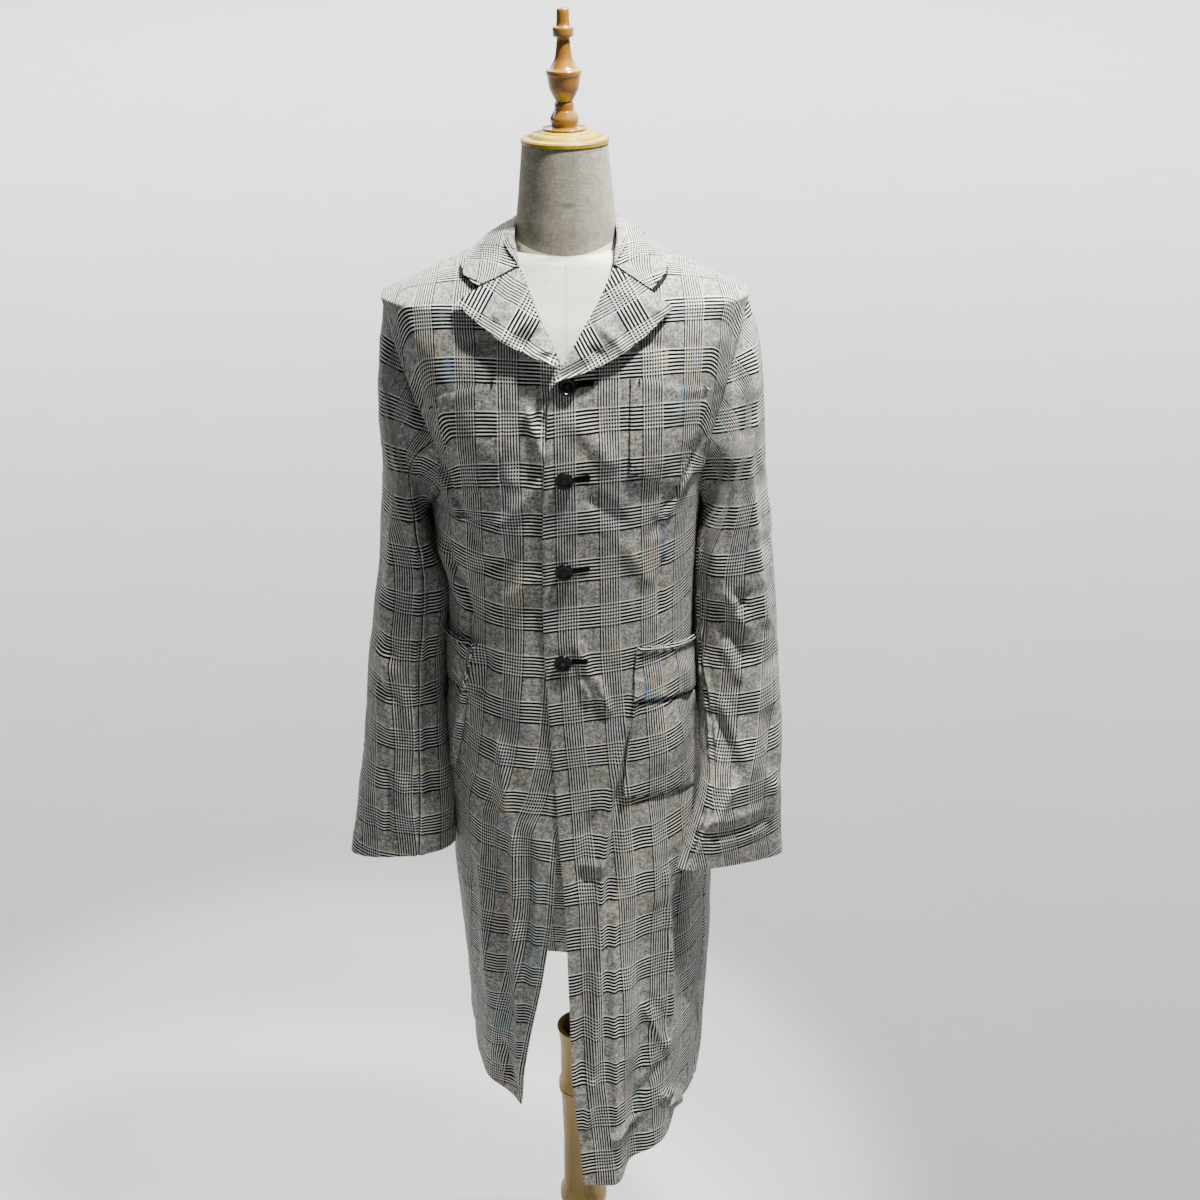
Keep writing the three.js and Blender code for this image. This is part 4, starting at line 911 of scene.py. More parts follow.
TINTS = {
    1: [
        (125, 1404, 5, 12, *BLUE, 0.55), (121, 1385, 4, 8, *TEAL, 0.5), (132, 1432, 5, 9, *RUST, 0.35),
        (86, 1052, 5, 10, *BLUE, 0.7), (97, 1044, 4, 7, *TEAL, 0.6), (94, 1062, 6, 9, *RUST, 0.6),
        (106, 1046, 6, 8, *SAND, 0.55), (112, 1072, 8, 9, *SAND, 0.4), (120, 1058, 6, 10, *BLUE, 0.3),
        (104, 1232, 5, 16, *BLUE, 0.45), (92, 1224, 6, 12, *RUST, 0.3), (70, 1216, 8, 14, *SAND, 0.35),
        (60, 1190, 6, 14, *BLUE, 0.3), (146, 1452, 5, 12, *RUST, 0.35), (140, 1436, 5, 9, *BLUE, 0.3),
        (70, 900, 7, 11, *RUST, 0.25), (118, 760, 6, 14, *TEAL, 0.25), (48, 1120, 10, 12, *SAND, 0.3),
    ],
    -1: [
        (-134, 1440, 4, 12, *BLUE, 0.55), (-128, 1424, 4, 8, *TEAL, 0.45),
        (-140, 1458, 5, 9, *RUST, 0.35), (-158, 1480, 6, 10, *TEAL, 0.35),
        (-160, 1462, 4, 9, *RUST, 0.4), (-101, 582, 8, 13, *TEAL, 0.6), (-100, 749, 6, 12, *RUST, 0.4),
        (-98, 790, 6, 16, *TEAL, 0.35), (-88, 905, 8, 12, *SAND, 0.4), (-86, 880, 5, 8, *BLUE, 0.35),
        (-62, 1180, 7, 12, *SAND, 0.35), (-46, 800, 9, 60, *TEAL, 0.22), (-56, 700, 9, 60, *TEAL, 0.22),
        (-128, 700, 7, 20, *TEAL, 0.2), (-92, 480, 8, 14, *RUST, 0.3),
    ],
}


def edge_distance(points):
    """Distances of each grid point to the first and last column and to the bottom and top row."""
    across = steps_along(points, 1)
    up = steps_along(points, 0)
    return across, across[:, -1:] - across, up, up[-1:, :] - up


def tint_marks(rows, points):
    """Colour and strength at each grid point of the strongest slub mark there."""
    marks = np.zeros(points.shape[:2] + (4,))
    marks[..., :3] = 0.5
    for x0, z0, wide, tall, *colour, strength in rows:
        weight = strength * mound(points[..., 0] - x0, wide, points[..., 2] - z0, tall)
        stronger = weight > marks[..., 3]
        marks[stronger, :3] = colour
        marks[stronger, 3] = weight[stronger]
    return marks


def rise_along(points, level):
    """Distance up the cloth along each column of a grid, from a row on, without its sideways part."""
    step = np.hypot(np.diff(points[..., 1], axis=0), np.diff(points[..., 2], axis=0))
    rise = np.concatenate([np.zeros((1, points.shape[1])), np.cumsum(step, axis=0)])
    return rise - rise[level:level + 1, :]


def front_relief(side, x, z):
    """Height of a front's creases and unevenness, which its pockets share."""
    relief = creases(FRONT_CREASES[side], x, z) + spots(FRONT_SPOTS[side], x, z)
    skirt = smooth((1120 - z) / 200)
    relief += (0.8 + 0.7 * skirt) * ripple(x * 1.3, z * 0.8, 40, 0.3 * side)
    return relief + 0.5 * ripple(x, z, 17, 2.1) + 0.25 * ripple(x, z, 8, 5.7)


def hem_relief(low, groove):
    """The turned hem, thicker below its stitched groove."""
    return 0.7 * smooth((30 - low) / 4) - 0.9 * ridge(low - HEM_FOLD, groove)


def front(side):
    """A front's cloth, its columns running towards +X."""
    across, up = grid(300, 136)
    z, angle = front_place(side, across, up)
    if side < 0:
        z, angle = z[:, ::-1], angle[:, ::-1]
    drop = under_drop(z, angle) if side < 0 else 0
    smooth_points = body_point(z, angle, drop, FRONT_OF[side])
    first, last, low, _ = edge_distance(smooth_points)
    edge, seam = (first, last) if side > 0 else (last, first)
    relief = front_relief(side, smooth_points[..., 0], z) + hem_relief(low, 2.2)
    relief += 0.8 * ridge(seam - 6, 4) - 0.8 * ridge(seam, 2)
    relief += 0.6 * ridge(edge - 4, 3)
    beside_sleeve = smooth((z - 1275) / 40) * (1 - 0.8 * smooth((z - 1455) / 35))
    relief += beside_sleeve * (2.6 * ridge(seam, 7) + 0.9 * ridge(seam, 2.5))
    points = body_point(z, angle, drop + relief, FRONT_OF[side])
    edge_z = z[:, :1] if side > 0 else z[:, -1:]
    turned = front_edge_x(edge_z, EDGE_OF[side]) - front_edge_x(EDGE_TURN_Z, EDGE_OF[side])
    lean = np.abs(turned) * (edge_z > EDGE_TURN_Z)
    under = int(np.argmax(up[:, 0] > SKIRT_SHARE))
    rise = rise_along(smooth_points, under)
    v = rise + 9 * np.exp(-edge / 45) + 34 * smooth((45 - seam) / 70) * smooth((z - 1290) / 60)
    return Cloth(points, np.stack([lean + edge, v], -1))


fronts = {1: front(1), -1: front(-1)}


def before_seam(points):
    """Keeps the inside of a front's shoulder edge in front of the shoulder seam."""
    points[..., 1] = np.minimum(points[..., 1], -SEAM)
    return points


def behind_seam(points):
    """Keeps the inside of the back's shoulder edge behind the shoulder seam."""
    points[..., 1] = np.maximum(points[..., 1], SEAM)
    return points


for side, node in NODE_OF.items():
    cloth = fronts[side]
    obj = shell(node, cloth, CLOTH, MATERIALS[node], before_seam, tint_marks(TINTS[side], cloth.points))
    place(obj, node, "check_wool")


def back():
    across, up = grid(220, 140)
    z, angle = back_place(across, up)
    first, last, low, _ = edge_distance(body_point(z, angle))
    seam = np.minimum(first, last)
    half = across.shape[1] // 2
    middle = first - first[:, half:half + 1]
    relief = 0.9 * ripple(middle, z, 42, 1.3) + 0.35 * ripple(middle, z, 17, 3.1)
    relief += hem_relief(low, 1.6)
    relief += 0.8 * ridge(seam - 5, 4) - 0.8 * ridge(seam, 1.6)
    points = body_point(z, angle, relief)
    t = clamp01(up / SKIRT_SHARE)
    rise = steps_along(points, 0)
    under = int(np.argmax(up[:, 0] > SKIRT_SHARE))
    rise = rise - rise[under - 1:under, :]
    v = np.where(z < UNDERARM_Z, -(1 - t) * BACK_SKIRT, rise)
    return Cloth(points, np.stack([middle, v], -1))


back_cloth = back()
place(shell("back", back_cloth, CLOTH, MATERIALS["back"], behind_seam), "back", "check_wool")


# Sleeves

SLEEVE_CREASES = {
    1: [
        (211, 1363, 202, 1314, 5, 2.2), (202, 1318, 215, 1218, 6, 2.8), (215, 1222, 234, 1067, 7, 2.8),
        (190, 1156, 208, 1131, 5, -2.6), (208, 1156, 191, 1128, 5, -2.6),
        (165, 1141, 191, 1093, 11, -3), (191, 1097, 212, 1067, 11, -2.6),
        (180, 1156, 206, 1106, 6, 2.6), (160, 873, 236, 874, 9, 1.8), (164, 857, 236, 856, 8, -1.8),
        (162, 842, 236, 842, 7, 1.0), (243, 905, 240, 855, 5, 3), (175, 1020, 206, 939, 7, 2.4),
        (170, 1000, 198, 925, 7, -2.2), (194, 918, 166, 869, 6, 2.6), (182, 1307, 174, 1194, 7, -2.4),
        (222, 1295, 228, 1193, 7, -2.2), (223, 1032, 212, 914, 8, 2.2), (204, 1467, 211, 1384, 8, 2),
        (190, 1420, 196, 1340, 8, -2), (236, 1000, 238, 920, 7, -2.2), (178, 1090, 200, 1040, 7, 1.8),
        (228, 1110, 240, 1050, 7, -1.8),
    ],
    -1: [
        (-173, 1371, -184, 1295, 6, 2.6), (-184, 1299, -190, 1230, 6, 1.8),
        (-203, 1275, -218, 1149, 6, 2.6), (-224, 1103, -224, 969, 7, 2.2),
        (-243, 1103, -211, 1080, 9, -2.4), (-246, 1052, -212, 1022, 9, -2),
        (-240, 1078, -208, 1056, 9, 1.8), (-232, 945, -227, 886, 6, -2),
        (-229, 904, -234, 828, 3.5, -2.4), (-208, 1414, -200, 1318, 7, -2.4),
        (-187, 1448, -180, 1353, 7, 2.2), (-168, 1202, -171, 1021, 7, -3),
        (-181, 1025, -175, 885, 8, -3), (-204, 1038, -202, 982, 6, 2.6), (-212, 920, -206, 850, 7, 2.2),
        (-250, 900, -252, 830, 7, -2), (-236, 1230, -244, 1150, 7, -2),
    ],
}
SEAM_PUCKER = {1: 3.6, -1: 2.8}
SLEEVE_CREASE_SHARE = 0.66
SLEEVE_SEAM_SHARE = 0.00005


def sleeve(side):
    """The two pieces of a sleeve, the top one first."""
    seam = FRONT_SEAMS[side]
    parts = []
    for on_top, first, last, columns in ((True, BACK_SEAM - 1, seam, 84), (False, seam, BACK_SEAM, 60)):
        turn, up = grid(190, columns, first + SLEEVE_SEAM_SHARE, last - SLEEVE_SEAM_SHARE)
        down = 1 - up**0.9
        base = sleeve_point(side, turn, down)
        a, b, low, high = edge_distance(base)
        outward = -side * normals(base)
        across = turn * SLEEVE_GIRTH
        relief = 1.3 * ripple(across, low, 42, 4.4 + side) + 0.6 * ripple(across, low, 15, 1.7)
        facing = smooth(-outward[..., 1] * 1.6 + 0.2)
        folds = creases(SLEEVE_CREASES[side], base[..., 0], base[..., 2])
        relief += SLEEVE_CREASE_SHARE * folds * facing
        near = np.minimum(a, b)
        at_front = b if on_top else a
        pucker = 0.5 + 0.5 * ripple(low, low * 0, 9, 5.0 + side)
        relief += (1.3 * ridge(near - 4, 3.5) - 2.2 * ridge(near, 1.8)) * pucker
        relief += SEAM_PUCKER[side] * ridge(at_front - 4.5, 3.2) * pucker
        relief += hem_relief(low, 1.6)
        relief *= smooth(high / 12)
        tip = smooth((base[..., 2] - 1440) / 40)
        relief -= (1.8 - 4.2 * tip) * smooth((26 - high) / 20) * smooth(high / 5)
        points = base + outward * relief[..., None]
        level = int(np.argmax(up[:, 0] > 0.5))
        v = low - low[level:level + 1, :]
        u = a - a[:, :1] + first * SLEEVE_GIRTH
        parts.append(Cloth(points, np.stack([u, v], -1), -side))
    return parts


sleeve_cloths = []
for side, name in SIDE_NAMES.items():
    for cloth, half, width in zip(sleeve(side), ("top", "under"), (0.24, 0.16)):
        sleeve_cloths.append(cloth)
        node = f"sleeve_{name}_{half}"
        place(shell(node, cloth, CLOTH, MATERIALS[f"sleeve_{name}"]), node, "check_wool")


# Lapels and collar

LAPEL_CREASES = {
    1: [
        (30, 1490, 60, 1458, 6, 1.4), (52, 1520, 96, 1500, 7, 1.0), (20, 1462, 44, 1450, 5, -1.2),
    ],
    -1: [
        (-34, 1498, -70, 1470, 6, 1.8), (-30, 1480, -52, 1462, 5, -1.6), (-58, 1530, -80, 1490, 7, 1.4),
        (-20, 1460, -40, 1459, 4, 1.6),
    ],
}
LAPEL_STAND = {1: 1.8, -1: 5.0}
UP_THE_SLOPE = 1.08


def lapel(side):
    """A lapel from its roll line out to its edge, with a corner at the notch."""
    edge, notch = LAPEL_EDGES[side], NOTCHES[side]
    across, up = grid(90, 80)
    out = across if side > 0 else 1 - across
    roll_z = lerp(LAPEL_FOOT_Z[side], GORGE_Z, up)
    roll_x = front_edge_x(roll_z, EDGE_OF[side])
    end_x, end_z = column(edge, "t", "x", up), column(edge, "t", "z", up)
    inner = out < AT_CORNER
    t1, t2 = out / AT_CORNER, (out - AT_CORNER) / (1 - AT_CORNER)
    bent_x = np.where(inner, lerp(roll_x, notch[0], t1), lerp(notch[0], end_x, t2))
    bent_z = np.where(inner, lerp(roll_z, notch[1], t1), lerp(notch[1], end_z, t2))
    x = lerp(lerp(roll_x, end_x, out), bent_x, up**6)
    z = lerp(lerp(roll_z, end_z, out), bent_z, up**6)
    bulge = 5 * np.sin(np.pi * np.minimum(1, out * 1.3)) * smooth(up * 3) * (1 - 0.6 * up**4)
    lift = 1.2 + CLOTH + bulge + 2 * out + 2.5 * smooth((out - 0.6) / 0.4) * (1 - up**3)
    lift = lift + 0.9 * ripple(x, z, 24, 6.1 + side) + 0.5 * ridge(1 - out, 0.05)
    lift = lift + creases(LAPEL_CREASES[side], x, z) + LAPEL_STAND[side] * smooth((out - 0.45) / 0.55)
    points = body_point(z, angle_at(x, z), lift, FRONT_OF[side])
    tip, foot = np.array([edge["x"][-1], edge["z"][-1]]), np.array([edge["x"][0], edge["z"][0]])
    along = unit(tip - foot)
    flat = np.stack([points[..., 0], points[..., 2] * UP_THE_SLOPE], -1)
    base = np.array([foot[0], foot[1] * UP_THE_SLOPE])
    v = (flat - base) @ along
    u = (flat - base) @ np.array([along[1], -along[0]]) * side
    return Cloth(points, np.stack([u, v], -1))


def collar():
    """The collar as one cloth, from the edge of its fall over the fold down to the neck seam."""
    side_share = np.linspace(0, 1, 111) ** 1.35 / 2
    round_neck = np.concatenate([side_share, 1 - side_share[-2::-1]])
    along, across = np.meshgrid(round_neck, np.linspace(0, 1, 52))
    side = np.where(along < 0.5, 1, -1)
    t = np.where(along < 0.5, along, 1 - along)
    at = {name: column(COLLAR, "t", name, t) for name in COLLAR if name != "t"}
    neck_z = np.minimum(at["neckZ"], NECK_POINT_Z)
    neck_x = np.where(side > 0, front_edge_x(neck_z, "upper"), front_edge_x(neck_z, "under"))
    neck_angle = lerp(angle_at(neck_x, neck_z), side * np.pi, at["turn"])
    foot = body_point(neck_z, neck_angle, at["lift"] - 0.6)
    foot[..., 2] = neck_z + STAND_GAP
    fold = body_point(neck_z, neck_angle, at["lift"] + at["lean"])
    fold[..., 2] = neck_z + STAND_GAP + at["stand"]
    stands_off = 1.4 + CLOTH + 4.2 * (1 - smooth(t / 0.09))
    edge = body_point(at["edgeZ"], side * np.radians(at["edge"]), stands_off)
    share = 0.62
    s = across / share
    fall = lerp(edge, fold, np.minimum(s, 1)[..., None])
    fall[..., 2] += ROLL_RISE * np.sin(np.pi * np.minimum(s, 1))
    notch_x = np.where(side > 0, NOTCHES[1][0], NOTCHES[-1][0])
    corner_z = np.where(side > 0, NOTCHES[1][1], NOTCHES[-1][1]) + NOTCH_GAP
    corner = body_point(corner_z, angle_at(notch_x, corner_z), 7)
    outer = lerp(edge, corner, clamp01(s / NOTCH_SHARE)[..., None])
    inner = lerp(corner, fold, clamp01((s - NOTCH_SHARE) / (1 - NOTCH_SHARE))[..., None])
    bent = np.where((s < NOTCH_SHARE)[..., None], outer, inner)
    fall = lerp(fall, bent, (clamp01(1 - t / NOTCH_FADE) ** 2)[..., None])
    stand = lerp(fold, foot, np.maximum(0, (across - share) / (1 - share))[..., None])
    points = np.where((across <= share)[..., None], fall, stand)
    rough = 0.8 * ripple(points[..., 0], points[..., 1] + points[..., 2], 22, 3.3)
    points[..., 2] += rough * smooth(across / 0.12) * smooth((share - across) / 0.12 + 0.5)
    v = steps_along(points, 1)
    half = len(side_share) - 1
    return Cloth(points, np.stack([steps_along(points, 0), v - v[:, half:half + 1]], -1))


for side, name in SIDE_NAMES.items():
    node = f"lapel_{name}"
    cloth = lapel(side)
    place(shell(node, cloth, CLOTH, MATERIALS["lapel"]), node, "check_wool")
collar_cloth = collar()
place(shell("collar", collar_cloth, CLOTH, MATERIALS["collar"]), "collar", "check_wool")


# Inner and outer end of each notch's slot
NOTCH_SLOTS = {1: ((88, 1519), (107, 1535)), -1: ((-97, 1524), (-117, 1537))}
NOTCH_SLOT_TALL = 6.5


def notch_shadow(side):
    """Black strip in a notch's slot: a painted shadow that stands in for the shade under the collar's
    end.
    """
    inner, outer = NOTCH_SLOTS[side]
    along, across = np.meshgrid(np.linspace(0, 1, 16), np.linspace(0, 1, 7))
    x = lerp(inner[0], outer[0], along)
    z = lerp(inner[1], outer[1], along) + lerp(-NOTCH_SLOT_TALL, 0.5, across)
    points = body_point(z, angle_at(x, z), CLOTH + 2.4, FRONT_OF[side])
    return Cloth(points, np.stack([along * 20, across * 6], -1), side)


# Painted shadow: each notch gets a black strip, in the thread material, where the collar's end casts
# its shade.
for side, name in SIDE_NAMES.items():
    extra(shell(f"notch_{name}", notch_shadow(side), 0.6, MATERIALS["thread"]))


# Pockets, flaps and welts

def patch(node, rows, columns, thickness, swell):
    """Side and cloth of a pocket, flap or welt that lies on a front and follows its relief."""
    inner_top, inner_bottom, outer_top, outer_bottom, top, bottom, drop = PATCHES[node]
    side = 1 if outer_top > 0 else -1
    across, up = grid(rows, columns)
    inner_x = lerp(inner_bottom, inner_top, up)
    outer = np.radians(lerp(outer_bottom, outer_top, up))
    height = lerp(bottom, top, up)
    inner = angle_at(inner_x, height)
    out = across if side > 0 else 1 - across
    lift = PATCH_LIFT + thickness + swell * np.sin(np.pi * across) * np.sin(np.pi * up)
    if "flap" in node:
        lift = lift + 1.0 + 1.6 * (1 - up)
    z, angle = height - drop * out, lerp(inner, outer, out)
    x = body_point(z, angle, lift, FRONT_OF[side])[..., 0]
    cover = np.maximum(front_relief(side, x, z), -0.5)
    edge = np.minimum(np.minimum(across, 1 - across) * 70, np.minimum(up, 1 - up) * 60)
    if "welt" in node:
        rise = 1.2 + 2.2 * np.sin(np.pi * up) * smooth(edge / 3)
    else:
        rise = 0.5 * ridge(edge - 3, 2.5) + 0.4 * ripple(x, z, 14, 8.8)
    points = body_point(z, angle, lift + cover + rise * smooth(edge / 2 + 0.3), FRONT_OF[side])
    if "welt" in node:
        uv = np.stack([steps_along(points, 1), 2 + steps_along(points, 0)], -1)
    else:
        uv = fronts[side].follow(points)
    return side, Cloth(points, uv)


# Rows, columns, thickness and swell of the pocket pieces
patch_cloths = {}
for node, rows, columns, thickness, swell in (
    ("chest_pocket_left", 40, 30, PATCH_CLOTH, 1), ("chest_pocket_right", 40, 30, PATCH_CLOTH, 1),
    ("hip_pocket_left", 44, 40, PATCH_CLOTH, 7), ("hip_pocket_right", 44, 34, PATCH_CLOTH, 7),
    ("hip_flap_left", 24, 36, 2, 1.5), ("hip_flap_right", 24, 30, 2, 1.5),
    ("hip_welt_left", 14, 36, 3, 0), ("hip_welt_right", 14, 30, 3, 0),
):
    side, cloth = patch(node, rows, columns, thickness, swell)
    patch_cloths[node] = cloth
    marks = tint_marks(TINTS[side], cloth.points)
    place(shell(node, cloth, thickness, MATERIALS[NODE_OF[side]], marks=marks), node, "check_wool")


# Turned parts

def tube_faces(rings, sides):
    """Faces between rings of vertices, and one over each end."""
    at = np.arange(rings * sides).reshape(rings, sides)
    beside = np.roll(at, -1, axis=1)
    quads = np.stack([at[:-1], beside[:-1], beside[1:], at[1:]], -1).reshape(-1, 4).tolist()
    return [*quads, at[0][::-1].tolist(), at[-1].tolist()]


def lathe(name, profile, sides, material, sharp=35, centre=0.0):
    """Solid of revolution about the form's axis from heights and radii in millimetres."""
    turns = np.linspace(0, 2 * np.pi, sides, endpoint=False)
    sine, cosine = np.sin(turns), np.cos(turns)
    rings = [np.stack([centre + r * sine, -r * cosine, np.full(sides, z)], -1) for z, r in profile]
    vertices = np.concatenate(rings) / 1000
    return mesh_object(name, vertices, tube_faces(len(rings), sides), None, material, sharp=sharp)


def rounded(points, steps=5):
    """Profile points joined by short smooth curves."""
    points = np.asarray(points, float)
    result = []
    for i in range(len(points) - 1):
        p0 = points[max(i - 1, 0)]
        p1, p2 = points[i], points[i + 1]
        p3 = points[min(i + 2, len(points) - 1)]
        m1, m2 = 0.35 * (p2 - p0), 0.35 * (p3 - p1)
        for t in np.linspace(0, 1, steps, endpoint=False):
            result.append((2 * t**3 - 3 * t * t + 1) * p1 + (t**3 - 2 * t * t + t) * m1
                          + (3 * t * t - 2 * t**3) * p2 + (t**3 - t * t) * m2)
    result.append(points[-1])
    return result


# Heights and radii from the bottom up
FINIAL = [
    (1676, 24.5), (1678.2, 24), (1679, 14.5), (1687.5, 15.9), (1695, 12), (1697, 10.8), (1703, 10.8),
    (1706, 9.4), (1711, 12.1), (1720, 16.4), (1732.5, 18.3), (1734, 19.2), (1738.5, 19.2), (1741, 15),
    (1750, 10), (1758, 8.5), (1772, 7.4), (1774, 11.2), (1783, 11.2), (1785, 7.4), (1801, 6.6),
    (1802.5, 4),
]
CAP = [
    (1661.3, 47.7), (1662.5, 48.7), (1666, 48.7), (1667.5, 47.2), (1668.8, 39.8), (1668.2, 39.2),
    (1669.2, 38.6), (1672, 36.5), (1673.6, 30), (1673.2, 29.2), (1674, 28.6), (1675.4, 25),
]
POLE = [
    (28.3, 34), (60, 30), (158, 29.5), (168, 33), (175, 33.4), (176, 32.2), (177, 33.4), (184, 33),
    (194, 28), (280, 27), (355, 29), (363, 32), (369, 32.3), (370.5, 31), (372, 32.3), (378, 32),
    (386, 29), (440, 28.5), (460, 31), (470, 33), (471, 31), (469, 26), (460, 24), (392, 24),
]
BASE = [(0, 147), (3, 150), (16, 150), (24, 142), (28, 128)]
place(lathe("neck_cap", CAP, 96, MATERIALS["cap"], centre=NECK_OFFSET), "neck_cap", "cap_wood")
finial = lathe("finial", rounded(FINIAL, 4), 64, MATERIALS["finial"], 50, NECK_OFFSET)
place(finial, "finial", "finial_wood")
place(lathe("pole", POLE, 72, MATERIALS["pole"]), "pole", "pole_wood")
place(lathe("rod", [(392.3, 9), (1004.7, 9)], 32, MATERIALS["steel"]), "rod", "rod_steel")
place(lathe("base", rounded(BASE, 4), 96, MATERIALS["pole"]), "base", "pole_wood")

TORSO = table("z wide front back", [
    (1005, 122, 96, 92), (1060, 118, 94, 86), (1120, 112, 96, 80), (1190, 118, 106, 82),
    (1262, 128, 120, 90), (1330, 140, 126, 98), (1400, 158, 118, 98), (1450, 172, 106, 91),
    (1475, 178, 97, 80), (1497, 178, 86, 72),
])
SHOULDER_PLATE = 178
PLATE_Z = 1475
NECK = [(1549, 59), (1557, 58), (1575, 56.5), (1600, 53.5), (1661, 47.7)]


def torso():
    """The limbless form under the coat, cut flat at the armholes, with its neck."""
    around = 128
    angle = (np.arange(around) + 0.5) / around * 2 * np.pi - np.pi
    heights = np.concatenate([np.arange(1005, PLATE_Z, 10), np.arange(PLATE_Z, 1544, 4)])
    rings = []
    for z in heights:
        coat = section(min(z + 2.7, NECK_POINT_Z))
        right, left = coat["right"] - coat["centre"], coat["centre"] - coat["left"]
        if z > PLATE_Z:
            sides = np.where(np.sin(angle) >= 0, right, left)
            wide = np.minimum(sides, lerp(SHOULDER_PLATE, 1000, clamp01((z - PLATE_Z) / 10)))
        else:
            wide = column(TORSO, "z", "wide", z)
        share = clamp01((z - SHOULDER_TIP_Z) / (NECK_POINT_Z - SHOULDER_TIP_Z))
        ahead = lerp(column(TORSO, "z", "front", z), 56, share)
        behind = lerp(column(TORSO, "z", "back", z), 54, share)
        deep = np.where(np.cos(angle) >= 0, ahead, behind)
        x = wide * power(np.sin(angle), 2 / ROUNDNESS)
        x = np.clip(x, -SHOULDER_PLATE, SHOULDER_PLATE) + coat["centre"]
        y = -deep * power(np.cos(angle), 2 / ROUNDNESS)
        rings.append(np.stack([x, y, np.full(around, z)], -1))
    for z, radius in rounded(NECK, 6):
        x, y = NECK_OFFSET + radius * np.sin(angle), -radius * np.cos(angle)
        rings.append(np.stack([x, y, np.full(around, z)], -1))
    faces = tube_faces(len(rings), around)
    return mesh_object("form_torso", np.concatenate(rings) / 1000, faces, None, MATERIALS["linen"])


place(torso(), "form_torso", "form_linen")


# Buttons, the thread on their faces and the buttonholes

def frame_at(point, normal, right):
    """Matrix that lays a flat piece on a cloth, with its x to the right."""
    across = unit(right - normal * (right @ normal))
    above = np.cross(normal, across)
    return Matrix((
        (across[0], above[0], normal[0], point[0] / 1000),
        (across[1], above[1], normal[1], point[1] / 1000),
        (across[2], above[2], normal[2], point[2] / 1000),
        (0, 0, 0, 1),
    ))


BUTTON_PROFILE = [
    (0, 8.1), (1.2, 10.2), (2.6, 10.2), (3.3, 9.7), (3.6, 8.9), (3.45, 7.9), (2.7, 7.0), (2.3, 6.3),
    (2.2, 5.0), (2.2, 0.01),
]


def button(index, x, z):
    """A button on the upper front, turned a little at random."""
    p, normal, right, _ = fronts[1].spot(x, z)
    name = f"button_{index}"
    obj = lathe(name, rounded(BUTTON_PROFILE, 4), 48, MATERIALS["button"], 60)
    spin = Matrix.Rotation(rng.uniform(-0.5, 0.5), 4, "Z")
    obj.data.transform(frame_at(p + normal * 0.5, normal, right) @ spin)
    place(obj, name, "black_button")


for index, (x, z) in enumerate(BUTTONS, 1):
    button(index, x, z)


# Sewing thread: buttonholes, stitched lines, tacks and the thread in the buttons

def strands(name, items, material):
    """Joined short threads, each with its middle, direction, face normal and half sizes."""
    rings, sides = 5, 6
    share = np.linspace(-1, 1, rings)
    girth = np.sqrt(np.maximum(1 - share**2, 0.02))
    turns = np.arange(sides) / sides * 2 * np.pi
    block = tube_faces(rings, sides)
    vertices, faces = [], []
    for k, (middle, along, normal, length, width, height) in enumerate(items):
        beside = np.cross(normal, along)
        for t, g in zip(share, girth):
            for a in turns:
                away = beside * width * math.cos(a) + normal * height * math.sin(a)
                vertices.append(middle + along * length * t + away * g)
        start = k * rings * sides
        faces += [[start + i for i in face] for face in block]
    return extra(mesh_object(name, np.array(vertices) / 1000, faces, None, material))


def sewn(points, normals_at, pitch, half, thick=0.28):
    """Stitches along a line of close points, with a gap between one and the next."""
    steps = np.concatenate([[0], np.cumsum(np.linalg.norm(np.diff(points, axis=0), axis=1))])
    items = []
    for d in np.arange(pitch / 2, steps[-1], pitch):
        k = min(int(np.searchsorted(steps, d)), len(points) - 1)
        along = unit(points[k] - points[k - 1])
        normal = unit(normals_at[k] - along * (normals_at[k] @ along))
        items.append((points[k] + normal * 0.12, along, normal, half, thick, thick))
    return items


def hem_stitches(cloth, height, inside=False):
    """Stitches along a hem at a height above its edge, on the outside or the inside."""
    low = steps_along(cloth.points, 0)
    rows = np.argmax(low > height, axis=0)
    at = (rows, np.arange(cloth.points.shape[1]))
    points, facing = cloth.points[at], cloth.normals[at]
    if inside:
        points, facing = points - facing * CLOTH, -facing
    return sewn(points[2:-2], facing[2:-2], 6.5, 1.5)


def grid_line(cloth, places):
    """Close points and normals along a line through grid places given as shares of the grid."""
    points, facing = [], []
    rows, columns = cloth.points.shape[:2]
    for (u0, v0), (u1, v1) in zip(places, places[1:]):
        for t in np.linspace(0, 1, 60, endpoint=False):
            c, r = lerp(u0, u1, t) * (columns - 1.001), lerp(v0, v1, t) * (rows - 1.001)
            ci, ri = int(c), int(r)
            cell = cloth.points[ri:ri + 2, ci:ci + 2]
            top = lerp(cell[1, 0], cell[1, 1], c - ci)
            points.append(lerp(lerp(cell[0, 0], cell[0, 1], c - ci), top, r - ri))
            facing.append(cloth.normals[ri, ci])
    return np.array(points), np.array(facing)


def seen_line(cloth, places):
    """Close points and normals along a line through places in the front view."""
    points, facing = [], []
    for (x0, z0), (x1, z1) in zip(places, places[1:]):
        count = max(3, int(math.hypot(x1 - x0, z1 - z0) / 3))
        for t in np.linspace(0, 1, count, endpoint=False):
            p, normal, *_ = cloth.spot(lerp(x0, x1, t), lerp(z0, z1, t))
            points.append(p)
            facing.append(normal)
    return np.array(points), np.array(facing)


